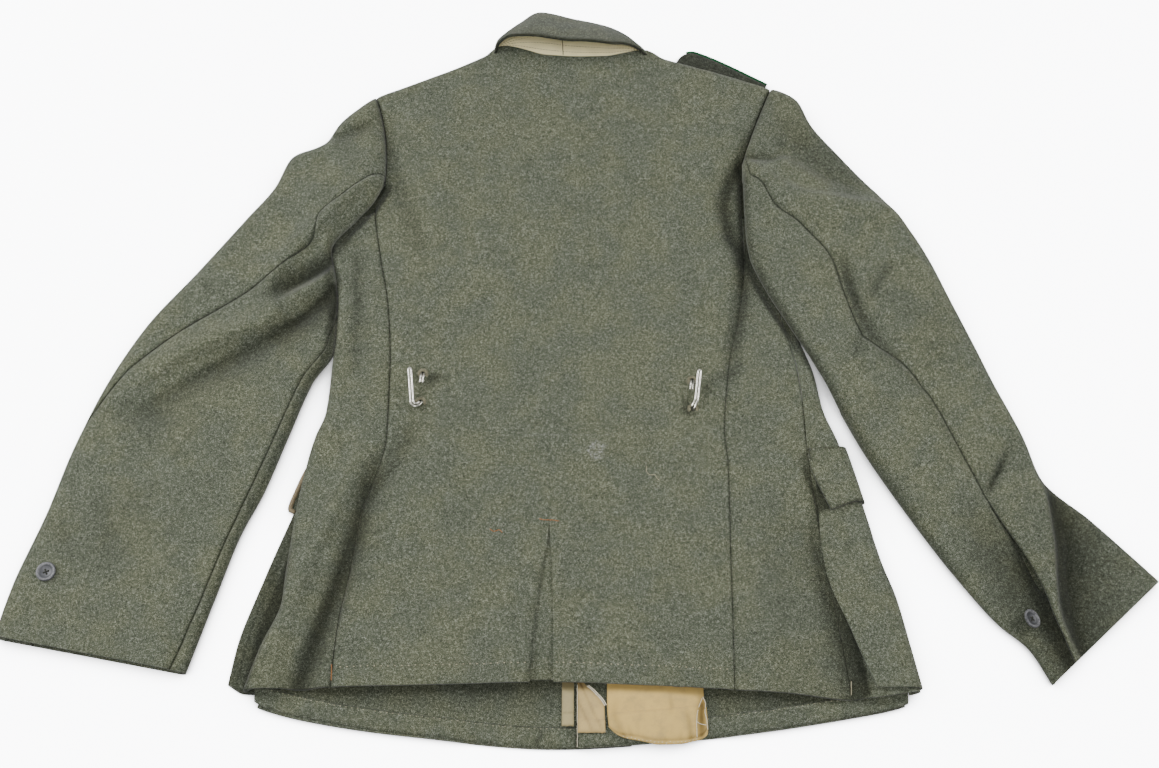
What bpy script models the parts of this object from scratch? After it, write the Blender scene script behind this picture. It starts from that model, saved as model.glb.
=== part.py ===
"""Field tunic of heavy grey-green wool, laid face down on a table with its back up.

Sizes are millimetres, and place() turns them into metres. +X is the right of the laid garment,
+Y runs from the hem to the collar, and +Z is up from the table at Z = 0. The garment lies on its
fronts, so its left is also the wearer's left. Each cut piece is one closed wall of cloth.
"""
import math
from collections import namedtuple

import bmesh
import bpy
from mathutils import Vector

MIDDLE = Vector((1.5, -11.0, 0.0))      # middle of the garment's outline, moved to the origin
METRE = 0.001

WOOL = 2.4                # wall of the wool pieces
POCKET_WOOL = 2.2
DRILL = 1.5               # wall of the cotton facings
SEAM = 0.3                # gap at each seam and between pieces that lie on each other
HEM_TURN = 18.0           # depth of the turned hem
HEM_PLY = 2.0             # cloth that the turned hem adds inside
UNDERLAY = 16.0           # how far a side panel runs in beneath its fold
FOLD_RADIUS = 9.0         # largest radius of a side fold
SHOULDER_RADIUS = 9.0
PRESSED = 7.2             # height of the body where a sleeve lies on it
SLEEVE_REST = 8.5         # height at which the sleeve lies on the body
VENT_TOP = -190.0
VENT_LAP = 15.0           # how far the vent's underlap runs behind each edge
POCKET_RISE = POCKET_WOOL + SEAM
CLOSURE_LEFT = 45.0       # hidden front edge of the lower front
CLOSURE_RIGHT = -1.0      # front edge of the upper front
ARC_SHARE = 0.2           # share of the way round a sleeve taken by each quarter of its edges

BackEdge = namedtuple("BackEdge", "y left right")
BACK_EDGES = (            # side-back seams, and the armholes above y 147 and y 125
    BackEdge(-350, -218.0, 135.5),
    BackEdge(-285, -214.5, 136.5),
    BackEdge(-230, -206.5, 137.0),
    BackEdge(-178, -200.0, 138.0),
    BackEdge(-135, -186.5, 138.5),
    BackEdge(-104, -180.5, 136.5),
    BackEdge(-36, -181.0, 142.5),
    BackEdge(30, -186.0, 156.0),
    BackEdge(90, -197.0, 163.5),
    BackEdge(147, -205.0, 163.0),
    BackEdge(167, -196.5, 163.5),
)

SideFold = namedtuple("SideFold", "y left right front_seam")
SIDE_FOLDS = (            # outer folds, and the right front's seam to its side panel
    SideFold(-354, -296.0, 299.5, 238.0),
    SideFold(-310, -282.0, 291.0, 233.0),
    SideFold(-265, -266.0, 282.0, 227.0),
    SideFold(-230, -264.5, 271.0, 222.0),
    SideFold(-178, -260.5, 259.0, 217.0),
    SideFold(-133, -254.0, 248.0, 213.0),
    SideFold(-105, -248.0, 240.0, 211.5),
    SideFold(-80, -240.0, 231.0, 211.0),
    SideFold(-40, -237.5, 224.0, 208.0),
    SideFold(0, -236.5, 212.0, 200.0),
    SideFold(34, -236.5, 206.5, 195.0),
    SideFold(92, -246.0, 204.5, 192.0),
    SideFold(150, -248.0, 204.0, 190.0),
)

UnderArm = namedtuple("UnderArm", "y left right")
UNDER_ARMS = (            # edge of the fronts and side panels below the armholes
    UnderArm(125, -240.0, 199.0),
    UnderArm(133, -226.0, 184.0),
    UnderArm(141, -213.0, 172.0),
    UnderArm(150, -204.5, 165.5),
    UnderArm(167, -196.5, 163.5),
)
SIDE_TOPS = (139.0, 132.0, 125.0)       # top of a side panel at its seam, midway and at its fold

BodyRise = namedtuple("BodyRise", "y middle side")
BODY_RISES = (            # height of the upper face, in the middle and at the sides
    BodyRise(-400, 14.4, 16.0),
    BodyRise(-320, 14.4, 16.0),
    BodyRise(-230, 12.6, 15.2),
    BodyRise(-100, 9.4, 14.5),
    BodyRise(40, 9.8, 14.0),
    BodyRise(150, 12.5, 14.0),
    BodyRise(250, 16.0, 17.0),
    BodyRise(340, 16.0, 18.0),
)

Vent = namedtuple("Vent", "y left right")
VENT = (                  # the two edges of the back vent
    Vent(-350, -44.5, -23.0),
    Vent(-290, -39.5, -23.5),
    Vent(-240, -34.0, -24.5),
    Vent(-190, -27.5, -27.5),
    Vent(335, -12.0, -12.0),
)

Outline = namedtuple("Outline", "x y")
BACK_HEM = (
    Outline(-296, -349), Outline(-210, -345), Outline(-122, -343), Outline(-27, -340.5),
    Outline(70, -344), Outline(175, -350), Outline(238, -356), Outline(300, -349),
)
FRONT_HEM = (
    Outline(-293, -352), Outline(-276, -362), Outline(-209, -377.5), Outline(-139, -387),
    Outline(-17, -397.5), Outline(105, -389), Outline(240, -370), Outline(289, -359),
    Outline(299, -352),
)
BACK_TOP = (              # shoulder, neck and shoulder, at the extreme of each fold
    Outline(-211, 276), Outline(-170, 294), Outline(-128, 313), Outline(-91, 333.4),
    Outline(-84, 337.4), Outline(-78, 338.5), Outline(-68, 337.0), Outline(-56, 333.5),
    Outline(-36, 327.4), Outline(-3, 324.9), Outline(27, 325.2), Outline(48, 329.3),
    Outline(60, 332.5), Outline(70, 332.4), Outline(78, 328.4), Outline(102, 319.5),
    Outline(145, 305.5), Outline(198, 285.5),
)
FRONT_TOP = (             # the same shoulders, and the lower neckline of the fronts
    Outline(-211, 276), Outline(-170, 294), Outline(-128, 313), Outline(-91, 332),
    Outline(-80, 303), Outline(-60, 268), Outline(-20, 246), Outline(30, 246),
    Outline(54, 268), Outline(68, 303), Outline(76, 327.5), Outline(102, 319.5),
    Outline(145, 305.5), Outline(198, 285.5),
)
NECK_ENDS = (-86.0, 72.0)               # where the shoulders meet the neck

Fold = namedtuple("Fold", "x0 y0 x1 y1 rise left right")
BODY_FOLDS = (            # soft ridges and troughs from one point to another, with two half widths
    Fold(-226, 88, -215, -90, -3.2, 13, 15),
    Fold(-222, -165, -279, -318, 6.5, 9, 15),
    Fold(-206, -205, -224, -318, -3.6, 13, 11),
    Fold(-171, -108, -189, -176, -2.4, 9, 12),
    Fold(158, 196, 151, 112, -5.0, 15, 12),
    Fold(205, -165, 236, -303, -4.6, 20, 12),
    Fold(168, -130, 176, -268, -2.2, 16, 22),
    Fold(-110, 300, -150, 150, 1.6, 30, 30),
    Fold(-40, 170, 60, 60, -1.4, 40, 45),
    Fold(-27, -200, -27, -330, 1.2, 16, 16),
)

Station = namedtuple(
    "Station", "outer_x outer_y inner_x inner_y bow top mid edge_out edge_in elbow forearm lap")
LEFT_SLEEVE = (           # sections from the armhole to the cuff
    Station(-211.5, 276, -197.0, 167, 6.0, 23, 9, 12, 13, 0.82, 1.30, 0),
    Station(-246, 242, -206.5, 146, 4.0, 25, 8, 14, 14, 0.71, 1.28, 0),
    Station(-260, 216, -223.0, 124, 2.0, 27, 8, 14, 14, 0.68, 1.25, 0),
    Station(-292, 200, -247.5, 92, 0.0, 26, 8, 14, 14, 0.67, 1.18, 0),
    Station(-308, 165, -242.0, 60, 0.0, 22, 8, 15, 15, 0.59, 1.08, 0),
    Station(-334, 129, -238.2, 26, 0.0, 20, 8, 16, 18, 0.49, 0.97, 0),
    Station(-375, 71, -238.8, -14, 0.0, 19, 8, 16, 20, 0.38, 0.84, 0),
    Station(-421, 8, -256.0, -50, 0.0, 18, 7.5, 16, 22, 0.27, 0.83, 0),
    Station(-454, -60, -273.0, -104, 0.0, 17, 7.5, 15, 24, 0.15, 0.83, 0),
    Station(-475, -122, -292.0, -162, 0.0, 16, 7.2, 15, 24, -0.05, 0.82, 0),
    Station(-490, -182, -310.0, -204, 0.0, 15, 7, 14, 22, -0.25, 0.84, 0),
    Station(-511, -250, -328.0, -265, 0.0, 14.5, 7, 13, 20, -0.30, 0.83, 0),
    Station(-521, -299, -347.0, -332, 0.0, 15, 7, 12, 18, -0.30, 0.83, 0),
)
RIGHT_SLEEVE = (
    Station(199.5, 286, 165.5, 196, -1.0, 24, 9, 12, 12, 0.86, 1.30, 0),
    Station(225, 269, 164.5, 168, 0.0, 26, 9, 14, 14, 0.83, 1.30, 0),
    Station(238, 239, 164.3, 138, 0.0, 27, 9, 15, 16, 0.71, 1.30, 0),
    Station(267, 199, 164.5, 110, 0.0, 27, 9, 16, 18, 0.64, 1.30, 0),
    Station(296, 162, 167.0, 84, 0.0, 26, 9, 18, 20, 0.55, 1.30, 0),
    Station(325, 124, 180.0, 49, 0.0, 25, 9, 18, 22, 0.52, 1.30, 0),
    Station(345, 84, 199.0, 13, 0.0, 24, 8.5, 18, 24, 0.56, 1.30, 0),
    Station(362, 38, 219.0, -24, 0.0, 23, 8.5, 18, 24, 0.60, 1.30, 0),
    Station(380, -10, 240.0, -66, 0.0, 21, 8, 17, 24, 0.56, 1.30, 0),
    Station(395, -52, 264.0, -118, 0.0, 20, 8, 16, 24, 0.52, 1.30, 0),
    Station(417, -108, 303.0, -186, 0.0, 18, 7.5, 15, 24, 0.55, 1.30, 0),
    Station(429, -149, 340.0, -243, 0.0, 15, 7, 14, 20, 0.57, 1.30, 0),
    Station(468, -187, 374.0, -287, 0.0, 12, 5.8, 11, 12, 0.65, 1.30, 0),
    Station(500, -218, 399.0, -310, 0.0, 11.5, 5.6, 9, 9, 0.73, 1.30, 0.10),
    Station(524, -242, 416.0, -342, 0.0, 11.5, 5.6, 9, 9, 0.75, 1.30, 0.12),
)
LEFT_SLEEVE_FOLDS = (
    Fold(-290, 190, -206, 228, 5.0, 11, 26),
    Fold(-203, 172, -244, 108, -7.0, 14, 10),
    Fold(-206, 152, -292, 44, 8.5, 14, 15),
    Fold(-262, 72, -254, 48, -6.0, 14, 16),
    Fold(-262, 18, -405, -78, 6.0, 10, 26),
    Fold(-262, 88, -425, -38, -3.5, 8, 16),
    Fold(-262, -6, -372, -78, -2.5, 16, 10),
    Fold(-352, 120, -420, 20, 2.0, 20, 24),
    Fold(-400, -130, -350, -290, -1.6, 26, 26),
)
RIGHT_SLEEVE_FOLDS = (
    Fold(170, 188, 200, 182, -2.6, 8, 8),
    Fold(205, 134, 305, 122, 3.2, 14, 18),
    Fold(222, 196, 246, 176, -5.0, 20, 20),
    Fold(297, 96, 296, -8, -3.2, 18, 20),
    Fold(180, 160, 260, 84, -2.6, 7, 10),
    Fold(266, 30, 272, -10, -2.4, 8, 10),
    Fold(274, -8, 350, -118, -2.2, 8, 10),
    Fold(378, -158, 396, -128, -3.0, 9, 9),
    Fold(300, 60, 360, -60, 2.0, 24, 24),
)
VENT_FLAP_FOLDS = (       # the opened cuff vent stands up and drops beyond a tight ridge
    Fold(429, -160, 452, -320, 10.0, 9, 46),
)
VENT_UNDER_FOLDS = (      # what lies beneath the opened vent is pressed down
    Fold(392, -222, 452, -322, -3.8, 30, 22),
)

Collar = namedtuple("Collar", "neck roll edge")
COLLAR = (                # neck seam, roll line and free edge, from the left to the right
    Collar((-84, 339.5, 12.5), (-90, 346, 10.5), (-91, 342, 16)),
    Collar((-78, 339.0, 14.0), (-81, 354, 15), (-80, 341, 29)),
    Collar((-68, 337.5, 15.0), (-63, 365, 20), (-69, 335, 40)),
    Collar((-56, 334.0, 15.2), (-51, 372, 23), (-55, 327, 49)),
    Collar((-36, 328.0, 15.2), (-39, 375.5, 24), (-40, 323, 52)),
    Collar((-3, 325.5, 15.2), (-5, 367.5, 24), (-8, 320, 52)),
    Collar((27, 326.0, 15.2), (29, 360, 22), (21, 320, 48)),
    Collar((48, 330.0, 15.0), (49, 351.5, 18), (47, 328, 36)),
    Collar((60, 333.0, 14.0), (63, 344, 15), (61, 335.5, 25)),
    Collar((70, 334.5, 12.0), (73, 340, 11), (72, 336.5, 17)),
)
FALL_WALL = 2.8
STAND_WALL = 2.0

STRAP_OUTER = ((112.0, 333.0), (196.0, 297.0))     # far edge of the shoulder strap
STRAP_WIDTH = 44.0
STRAP_WALL = 4.2
STRAP_TIP = 14.0
PIPING_RADIUS = 1.4

BUTTON_RADIUS = 9.0
BUTTON_HEIGHT = 3.6
LEFT_BUTTON = (-480.0, -241.0)
RIGHT_BUTTON = (402.0, -284.0)
RIGHT_BUTTON_TILT = 0.3

WIRE_RADIUS = 1.15
HOOK_LENGTH = 39.0
HOOK_STAND_OFF = 4.5
EYELET_RADIUS = 4.2
EYELET_BORE = 2.6
HOOKS = (                 # side, lower eyelet, upper eyelet and the way in which the hook leans
    ("left", (-149.6, -73.5), (-150.0, -43.0), -1.0),
    ("right", (103.3, -75.5), (106.0, -48.0), 1.0),
)

PANEL_ROWS = (-309, -280, -250, -220, -190, -165, -141, -117, -92, -64, -34, -2, 30, 62, 90,
              110, 125)                              # rows that neighbouring panels share
LEFT_SHARES = (0.0, 0.1, 0.2, 0.3, 0.41, 0.52, 0.62, 0.69, 0.77, 0.85, 0.93, 1.0)
RIGHT_SHARES = (0.0, 0.08, 0.17, 0.26, 0.34, 0.42, 0.52, 0.68, 0.84, 1.0)
ROLL_ANGLES = (30.0, 60.0, 90.0)
SLEEVE_ROWS = 20
HEAD_RISE = 0.42          # share of the first stretch in which the sleeve head rises


# ---------------------------------------------------------------- numbers and curves

def smoothstep(value):
    """Rise smoothly from 0 to 1 as the value does."""
    value = min(1.0, max(0.0, value))
    return value * value * (3.0 - 2.0 * value)


def mix(start, end, share):
    return start + (end - start) * share


def curve_through(keys, values):
    """Return a smooth function through the points that doesn't overshoot between them."""
    steps = [after - before for before, after in zip(keys, keys[1:])]
    slopes = [(after - before) / step for before, after, step in zip(values, values[1:], steps)]
    tangents = [slopes[0]]
    for before, after in zip(slopes, slopes[1:]):
        tangents.append(2.0 * before * after / (before + after) if before * after > 0 else 0.0)
    tangents.append(slopes[-1])

    def value_at(key):
        if key <= keys[0]:
            return values[0] + tangents[0] * (key - keys[0])
        if key >= keys[-1]:
            return values[-1] + tangents[-1] * (key - keys[-1])
        index = max(i for i, start in enumerate(keys[:-1]) if start <= key)
        share = (key - keys[index]) / steps[index]
        blend = share * share * (3.0 - 2.0 * share)
        lead = share * (1.0 - share) ** 2 * tangents[index]
        tail = share * share * (share - 1.0) * tangents[index + 1]
        return mix(values[index], values[index + 1], blend) + steps[index] * (lead + tail)

    return value_at


def panel_rows(hem, top):
    """Give the rows of a panel: its hem, the depth of the turned hem, and the shared rows."""
    return [hem, hem + HEM_TURN, hem + HEM_TURN + 3.0] + [y for y in PANEL_ROWS if y < top] + [top]


def column(rows, key, name):
    """Return the smooth function of one column of a table over another."""
    return curve_through([getattr(row, key) for row in rows], [getattr(row, name) for row in rows])


def along(rows, name):
    """Return the smooth function of one column of a table over the row's number."""
    return curve_through(list(range(len(rows))), [getattr(row, name) for row in rows])


def relief(folds, x, y):
    """Add up what the folds raise or lower the cloth by at a point."""
    total = 0.0
    for fold in folds:
        run_x = fold.x1 - fold.x0
        run_y = fold.y1 - fold.y0
        length = math.hypot(run_x, run_y)
        forward = ((x - fold.x0) * run_x + (y - fold.y0) * run_y) / length
        aside = ((y - fold.y0) * run_x - (x - fold.x0) * run_y) / length
        width = fold.left if aside > 0 else fold.right
        if abs(aside) > 2.6 * width:
            continue
        fade = 0.5 * (fold.left + fold.right) + 0.12 * length
        ends = smoothstep((forward + 0.4 * fade) / fade)
        ends *= smoothstep((length + 0.4 * fade - forward) / fade)
        total += fold.rise * ends * math.exp(-(aside / width) ** 2)
    return total


# ---------------------------------------------------------------- the body's form

back_left = column(BACK_EDGES, "y", "left")
back_right = column(BACK_EDGES, "y", "right")
fold_left = column(SIDE_FOLDS, "y", "left")
fold_right = column(SIDE_FOLDS, "y", "right")
front_seam = column(SIDE_FOLDS, "y", "front_seam")
under_left = column(UNDER_ARMS, "y", "left")
under_right = column(UNDER_ARMS, "y", "right")
rise_middle = column(BODY_RISES, "y", "middle")
rise_side = column(BODY_RISES, "y", "side")
vent_left = column(VENT, "y", "left")
vent_cut = column(VENT, "y", "right")
back_hem = column(BACK_HEM, "x", "y")
front_hem = column(FRONT_HEM, "x", "y")
back_top = column(BACK_TOP, "x", "y")
front_top_edge = column(FRONT_TOP, "x", "y")


def armhole(rows, y):
    """Give the x of an armhole, which is the first section of its sleeve, at a height y."""
    first = rows[0]
    share = (y - first.outer_y) / (first.inner_y - first.outer_y)
    return mix(first.outer_x, first.inner_x, share) + first.bow * 4.0 * share * (1.0 - share)


def vent_right(y):
    """Give the x of the vent's right edge, which is the centre line above the vent."""
    return vent_cut(y) if y < VENT_TOP else vent_left(y)


def left_edge(y):
    """Give the back's left edge: side-back seam, then armhole."""
    if y < LEFT_SLEEVE[0].inner_y:
        return back_left(y)
    return armhole(LEFT_SLEEVE, min(y, LEFT_SLEEVE[0].outer_y)) + 0.5


def right_edge(y):
    """Give the back's right edge: side-back seam, then armhole."""
    if y < RIGHT_SLEEVE[0].inner_y - 30.0:
        return back_right(y)
    if y < RIGHT_SLEEVE[0].inner_y:
        return 163.2
    return max(163.2, armhole(RIGHT_SLEEVE, min(y, RIGHT_SLEEVE[0].outer_y)) - 0.9)


def pressing(x, y):
    """Give how far a sleeve presses the body down at a point, from 0 to 1."""
    left_cover = smoothstep((inner_edge_left(y) - x + 16.0) / 16.0) * smoothstep((y - 84.0) / 14.0)
    left_cover *= smoothstep((178.0 - y) / 20.0)
    right_cover = smoothstep((x - inner_edge_right(y) + 14.0) / 14.0) * smoothstep((y + 44.0) / 22.0)
    right_cover *= smoothstep((205.0 - y) / 20.0)
    return max(left_cover, right_cover)


inner_edge_left = curve_through([row.inner_y for row in reversed(LEFT_SLEEVE)],
                                [row.inner_x for row in reversed(LEFT_SLEEVE)])
inner_edge_right = curve_through([row.inner_y for row in reversed(RIGHT_SLEEVE)],
                                 [row.inner_x for row in reversed(RIGHT_SLEEVE)])


def body_floor(x, y):
    """Give the height of the fronts' lower face: they are flat but for what lies beneath them."""
    pocket_y = smoothstep((-94.0 - y) / 20.0)
    left_pocket = pocket_y * smoothstep((-90.0 - x) / 20.0)
    right_side = smoothstep((x - 120.0) / 20.0)
    flap = smoothstep((y + 213.0) / 20.0)
    strap = smoothstep((strap_depth(x, y) + 50.0) / 22.0)
    return (POCKET_RISE * max(left_pocket, pocket_y * right_side * (1.0 + flap))
            + (STRAP_WALL + SEAM) * strap)


def strap_frame():
    """Give the strap's corner, its direction and the direction into the garment."""
    start = Vector(STRAP_OUTER[0])
    run = (Vector(STRAP_OUTER[1]) - start).normalized()
    return start, run, Vector((run.y, -run.x))


def strap_depth(x, y):
    """Give how deep a point lies inside the strap's outline; outside it is below zero."""
    start, run, inward = strap_frame()
    offset = Vector((x, y)) - start
    length = (Vector(STRAP_OUTER[1]) - start).length
    lengthwise = offset.dot(run)
    across = offset.dot(inward)
    return min(lengthwise, length - lengthwise, across, STRAP_WIDTH - across)


def body_height(x, y):
    """Give the height of the body's upper face."""
    middle = 0.5 * (fold_left(min(y, 120.0)) + fold_right(min(y, 120.0)))
    share = min(1.0, abs(x - middle) / 225.0)
    free = mix(rise_middle(y), rise_side(y), share * share) + relief(BODY_FOLDS, x, y)
    floor = body_floor(x, y)
    height = mix(free, PRESSED, pressing(x, y))
    return max(height, floor + 2.0 * WOOL + 1.2)


def slope_normal(height, x, y):
    """Give the upward normal of a surface that is a height over x and y."""
    step = 0.5
    slope_x = (height(x + step, y) - height(x - step, y)) / (2.0 * step)
    slope_y = (height(x, y + step) - height(x, y - step)) / (2.0 * step)
    return Vector((-slope_x, -slope_y, 1.0)).normalized()


def surface_normal(surface, first, second, step):
    """Give the normal of a surface of two parameters."""
    along_first = surface(first + step, second) - surface(first - step, second)
    along_second = surface(first, second + step) - surface(first, second - step)
    return along_first.cross(along_second).normalized()


def top_pair(x, y, wall=WOOL, lift=0.0):
    """Give the outer and inner point of a cloth that forms the body's upper face."""
    outer = Vector((x, y, body_height(x, y)))
    normal = slope_normal(body_height, x, y)
    down = Vector((0.0, 0.0, wall / normal.z))
    return outer + normal * lift, outer + normal * lift - down


def side_point(side, turn, y):
    """Give a point of a side fold: turn 0 to 1 from the seam out, 1 to 2 round, 2 to 3 back in."""
    fold = fold_left(y) if side < 0 else fold_right(y)
    seam = left_edge(min(y, 146.0)) - SEAM if side < 0 else front_seam(y) + SEAM
    top = body_height(fold - side * FOLD_RADIUS, y)
    floor = body_floor(fold - side * FOLD_RADIUS, y)
    half = 0.5 * (top - floor)
    radius = min(FOLD_RADIUS, half * half / (WOOL + 0.8))
    centre = fold - side * radius
    if turn <= 1.0:
        x = mix(seam, centre, turn)
        share = smoothstep((turn - 0.5) * 2.0)
        return Vector((x, y, mix(body_height(x, y), top, share)))
    if turn <= 2.0:
        angle = (turn - 1.0) * math.pi
        return Vector((centre + side * radius * math.sin(angle), y,
                       floor + half + half * math.cos(angle)))
    return Vector((mix(centre, fold - side * UNDERLAY, turn - 2.0), y, floor))


def side_pair(side, turn, y, wall=WOOL, lift=0.0):
    """Give the outer and inner point of cloth round a side fold."""
    outer = side_point(side, turn, y)
    normal = surface_normal(lambda a, b: side_point(side, a, b), turn, y, 0.01) * side
    if turn <= 0.5:
        normal = Vector((0.0, 0.0, 1.0))
    return outer + normal * lift, outer + normal * (lift - wall)


def front_wall(x, y):
    """Give a front's wall, which is thicker where its hem is turned."""
    return WOOL + HEM_PLY * smoothstep((front_hem(x) + HEM_TURN + 2.0 - y) / 1.5)


def front_floor(side, x, y):
    """Give the height of a front's lower face; the right front's edge lies on the left front."""
    if side < 0:
        return body_floor(x, y)
    lap = WOOL + SEAM + HEM_PLY * smoothstep((front_hem(x) + HEM_TURN + 3.0 - y) / 3.0)
    return body_floor(x, y) + lap * smoothstep((112.0 - x) / 40.0)


# ---------------------------------------------------------------- building closed walls

def material(name, colour, roughness, metallic=0.0):
    """Make a plain finish."""
    finish = bpy.data.materials.new(name)
    finish.use_nodes = True
    shader = finish.node_tree.nodes["Principled BSDF"]
    shader.inputs["Base Color"].default_value = (*colour, 1.0)
    shader.inputs["Roughness"].default_value = roughness
    shader.inputs["Metallic"].default_value = metallic
    return finish


def place(point):
    """Turn a point in millimetres into the part's frame in metres."""
    return (Vector(point) - MIDDLE) * METRE


def add_object(name, mesh_builder, finish):
    """Link one closed body as an object with its own copy of the finish."""
    bmesh.ops.recalc_face_normals(mesh_builder, faces=mesh_builder.faces[:])
    mesh = bpy.data.meshes.new(name)
    mesh_builder.to_mesh(mesh)
    mesh_builder.free()
    own_finish = finish.copy()
    own_finish.name = finish.name + " " + name
    mesh.materials.append(own_finish)
    mesh.shade_smooth()
    mesh.set_sharp_from_angle(angle=math.radians(40.0))
    piece = bpy.data.objects.new(name, mesh)
    bpy.context.scene.collection.objects.link(piece)
    return piece


def wall(name, grid, finish, kept=lambda row, column: True):
    """Make one closed wall from rows of (outer, inner) points; kept says which cells are cloth."""
    shape = bmesh.new()
    outer_of = {}
    inner_of = {}

    def corner(row, place_in_row):
        outer, inner = grid[row][place_in_row]
        key = tuple(round(value, 3) for value in outer)
        if key not in outer_of:
            outer_of[key] = shape.verts.new(place(outer))
            inner_of[key] = shape.verts.new(place(inner))
        return key

    edges = {}
    for row in range(len(grid) - 1):
        for cell in range(len(grid[row]) - 1):
            if not kept(row, cell):
                continue
            loop = [corner(row, cell), corner(row, cell + 1),
                    corner(row + 1, cell + 1), corner(row + 1, cell)]
            loop = [key for index, key in enumerate(loop) if key != loop[index - 1]]
            if len(loop) < 3:
                continue
            shape.faces.new([outer_of[key] for key in loop])
            shape.faces.new([inner_of[key] for key in reversed(loop)])
            for start, end in zip(loop, loop[1:] + loop[:1]):
                edges[(start, end)] = edges.get((start, end), 0) + 1
    for start, end in edges:
        if (end, start) not in edges:
            shape.faces.new([outer_of[end], outer_of[start], inner_of[start], inner_of[end]])
    bmesh.ops.triangulate(shape, faces=shape.faces[:])
    return add_object(name, shape, finish)


def spread(start, end, count):
    """Give count + 1 values from start to end."""
    return [mix(start, end, index / count) for index in range(count + 1)]


# ---------------------------------------------------------------- body pieces

def shoulder_share(x):
    """Give 1 on the shoulders, where the cloth rolls over, and 0 along the neck."""
    left = smoothstep((NECK_ENDS[0] - 4.0 - x) / 10.0)
    right = smoothstep((x - NECK_ENDS[1] - 6.0) / 10.0)
    return max(left, right)


def shoulder_roll(x, y_top, angle, height, floor):
    """Give a point on the roll of the shoulder, with its normal, at an angle from flat."""
    share = shoulder_share(x)
    gap = SEAM + 0.9 * smoothstep((x - 50.0) / 20.0) * smoothstep((125.0 - x) / 15.0)
    half = 0.5 * (height - floor - gap)
    reach = min(SHOULDER_RADIUS, half * half / (WOOL + 0.8))
    y = y_top - reach * (1.0 - math.sin(angle))
    drop = half * (1.0 - math.cos(angle)) * share
    normal = Vector((0.0, math.sin(angle) * share, 1.0 - share * (1.0 - math.cos(angle))))
    return y, drop, normal.normalized()


def back_column(x_bottom, x_top, x_at):
    """Give one column of the back, from the hem up and over the shoulder's roll."""
    hem = back_hem(x_bottom)
    top = back_top(x_top)
    floor = body_floor(x_top, top - SHOULDER_RADIUS)
    height = body_height(x_top, top - SHOULDER_RADIUS)
    start, _, _ = shoulder_roll(x_top, top, 0.0, height, floor)
    ys = panel_rows(hem, 125.0) + spread(125.0, 167.0, 3)[1:] + spread(167.0, start, 6)[1:]
    pairs = []
    for y in ys:
        hem_ply = HEM_PLY if y < hem + HEM_TURN + 1.0 else 0.0
        pairs.append(top_pair(x_at(y), y, WOOL + hem_ply))
    for angle in ROLL_ANGLES:
        y, drop, normal = shoulder_roll(x_top, top, math.radians(angle), height, floor)
        x = x_at(y)
        outer = Vector((x, y, height - drop))
        pairs.append((outer, outer - normal * WOOL))
    return pairs


def build_back(finish):
    """The back is one panel with its vent cut up the middle."""
    columns = []
    top_left = left_edge(BACK_TOP[0].y)
    top_right = right_edge(BACK_TOP[-1].y)
    top_centre = vent_left(330.0)
    for share in LEFT_SHARES:
        columns.append(back_column(
            mix(back_left(-345.0), vent_left(-341.0), share), mix(top_left, top_centre, share),
            lambda y, s=share: mix(left_edge(y), vent_left(y), s)))
    slit = len(columns) - 1
    for share in RIGHT_SHARES:
        columns.append(back_column(
            mix(vent_right(-341.0), back_right(-350.0), share), mix(top_centre, top_right, share),
            lambda y, s=share: mix(vent_right(y), right_edge(y), s)))
    grid = [list(row) for row in zip(*columns)]
    return wall("back", grid, finish, lambda row, cell: cell != slit)


def build_vent_underlap(finish):
    """The underlap hangs behind the open vent."""
    def height(x, y):
        return body_height(x, y) - WOOL - HEM_PLY * smoothstep(
            (back_hem(x) + HEM_TURN + 12.0 - y) / 6.0) - SEAM

    rows = []
    hem = back_hem(-30.0)
    for y in [hem + 2.5, hem + HEM_TURN + 5.0] + list(PANEL_ROWS[:5]) + [VENT_TOP + 14.0]:
        left = vent_left(y) - VENT_LAP
        right = vent_right(y) + VENT_LAP
        rows.append([(Vector((x, y, height(x, y))), Vector((x, y, height(x, y) - WOOL)))
                     for x in spread(left, right, 4)])
    return wall("back_vent_underlap", rows, finish)


def build_left_side(finish):
    """The left side panel runs from the side-back seam round the fold to the left front."""
    turns = spread(0.0, 1.0, 5) + spread(1.0, 2.0, 7)[1:] + spread(2.0, 3.0, 1)[1:]
    columns = []
    for turn in turns:
        hem = back_hem(side_point(-1, turn, -345.0).x)
        top = mix(SIDE_TOPS[0], SIDE_TOPS[1], min(1.0, turn * 2.0))
        top = mix(top, SIDE_TOPS[2], min(1.0, max(0.0, turn * 2.0 - 1.0)))
        ys = panel_rows(hem, 124.9)[:-1] + [mix(110.0, top, 0.517), top]
        columns.append([side_pair(-1, turn, y) for y in ys])
    return wall("side_left", [list(row) for row in zip(*columns)], finish)


def build_right_side(finish):
    """The right side panel shows whole on top, between the back and the right front."""
    columns = []
    for share in spread(0.0, 1.0, 4):
        hem = back_hem(mix(back_right(-350.0), front_seam(-354.0), share))
        ys = panel_rows(hem, 125.0)
        line = []
        for y in ys:
            x = mix(back_right(y) + SEAM, front_seam(y), share)
            line.append(top_pair(x, y, WOOL + (HEM_PLY if y < hem + HEM_TURN + 1.0 else 0.0)))
        columns.append(line)
    return wall("side_right", [list(row) for row in zip(*columns)], finish)


def front_side(side, y):
    """Give the x where a front's flat part ends at its side."""
    if side < 0:
        if y > UNDER_ARMS[-1].y:
            return left_edge(y)
        if y > UNDER_ARMS[0].y:
            return under_left(y)
        return fold_left(y) + UNDERLAY + SEAM
    if y > UNDER_ARMS[-1].y:
        return right_edge(y)
    if y > UNDER_ARMS[0].y:
        return under_right(y)
    return fold_right(y) - UNDERLAY


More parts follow.
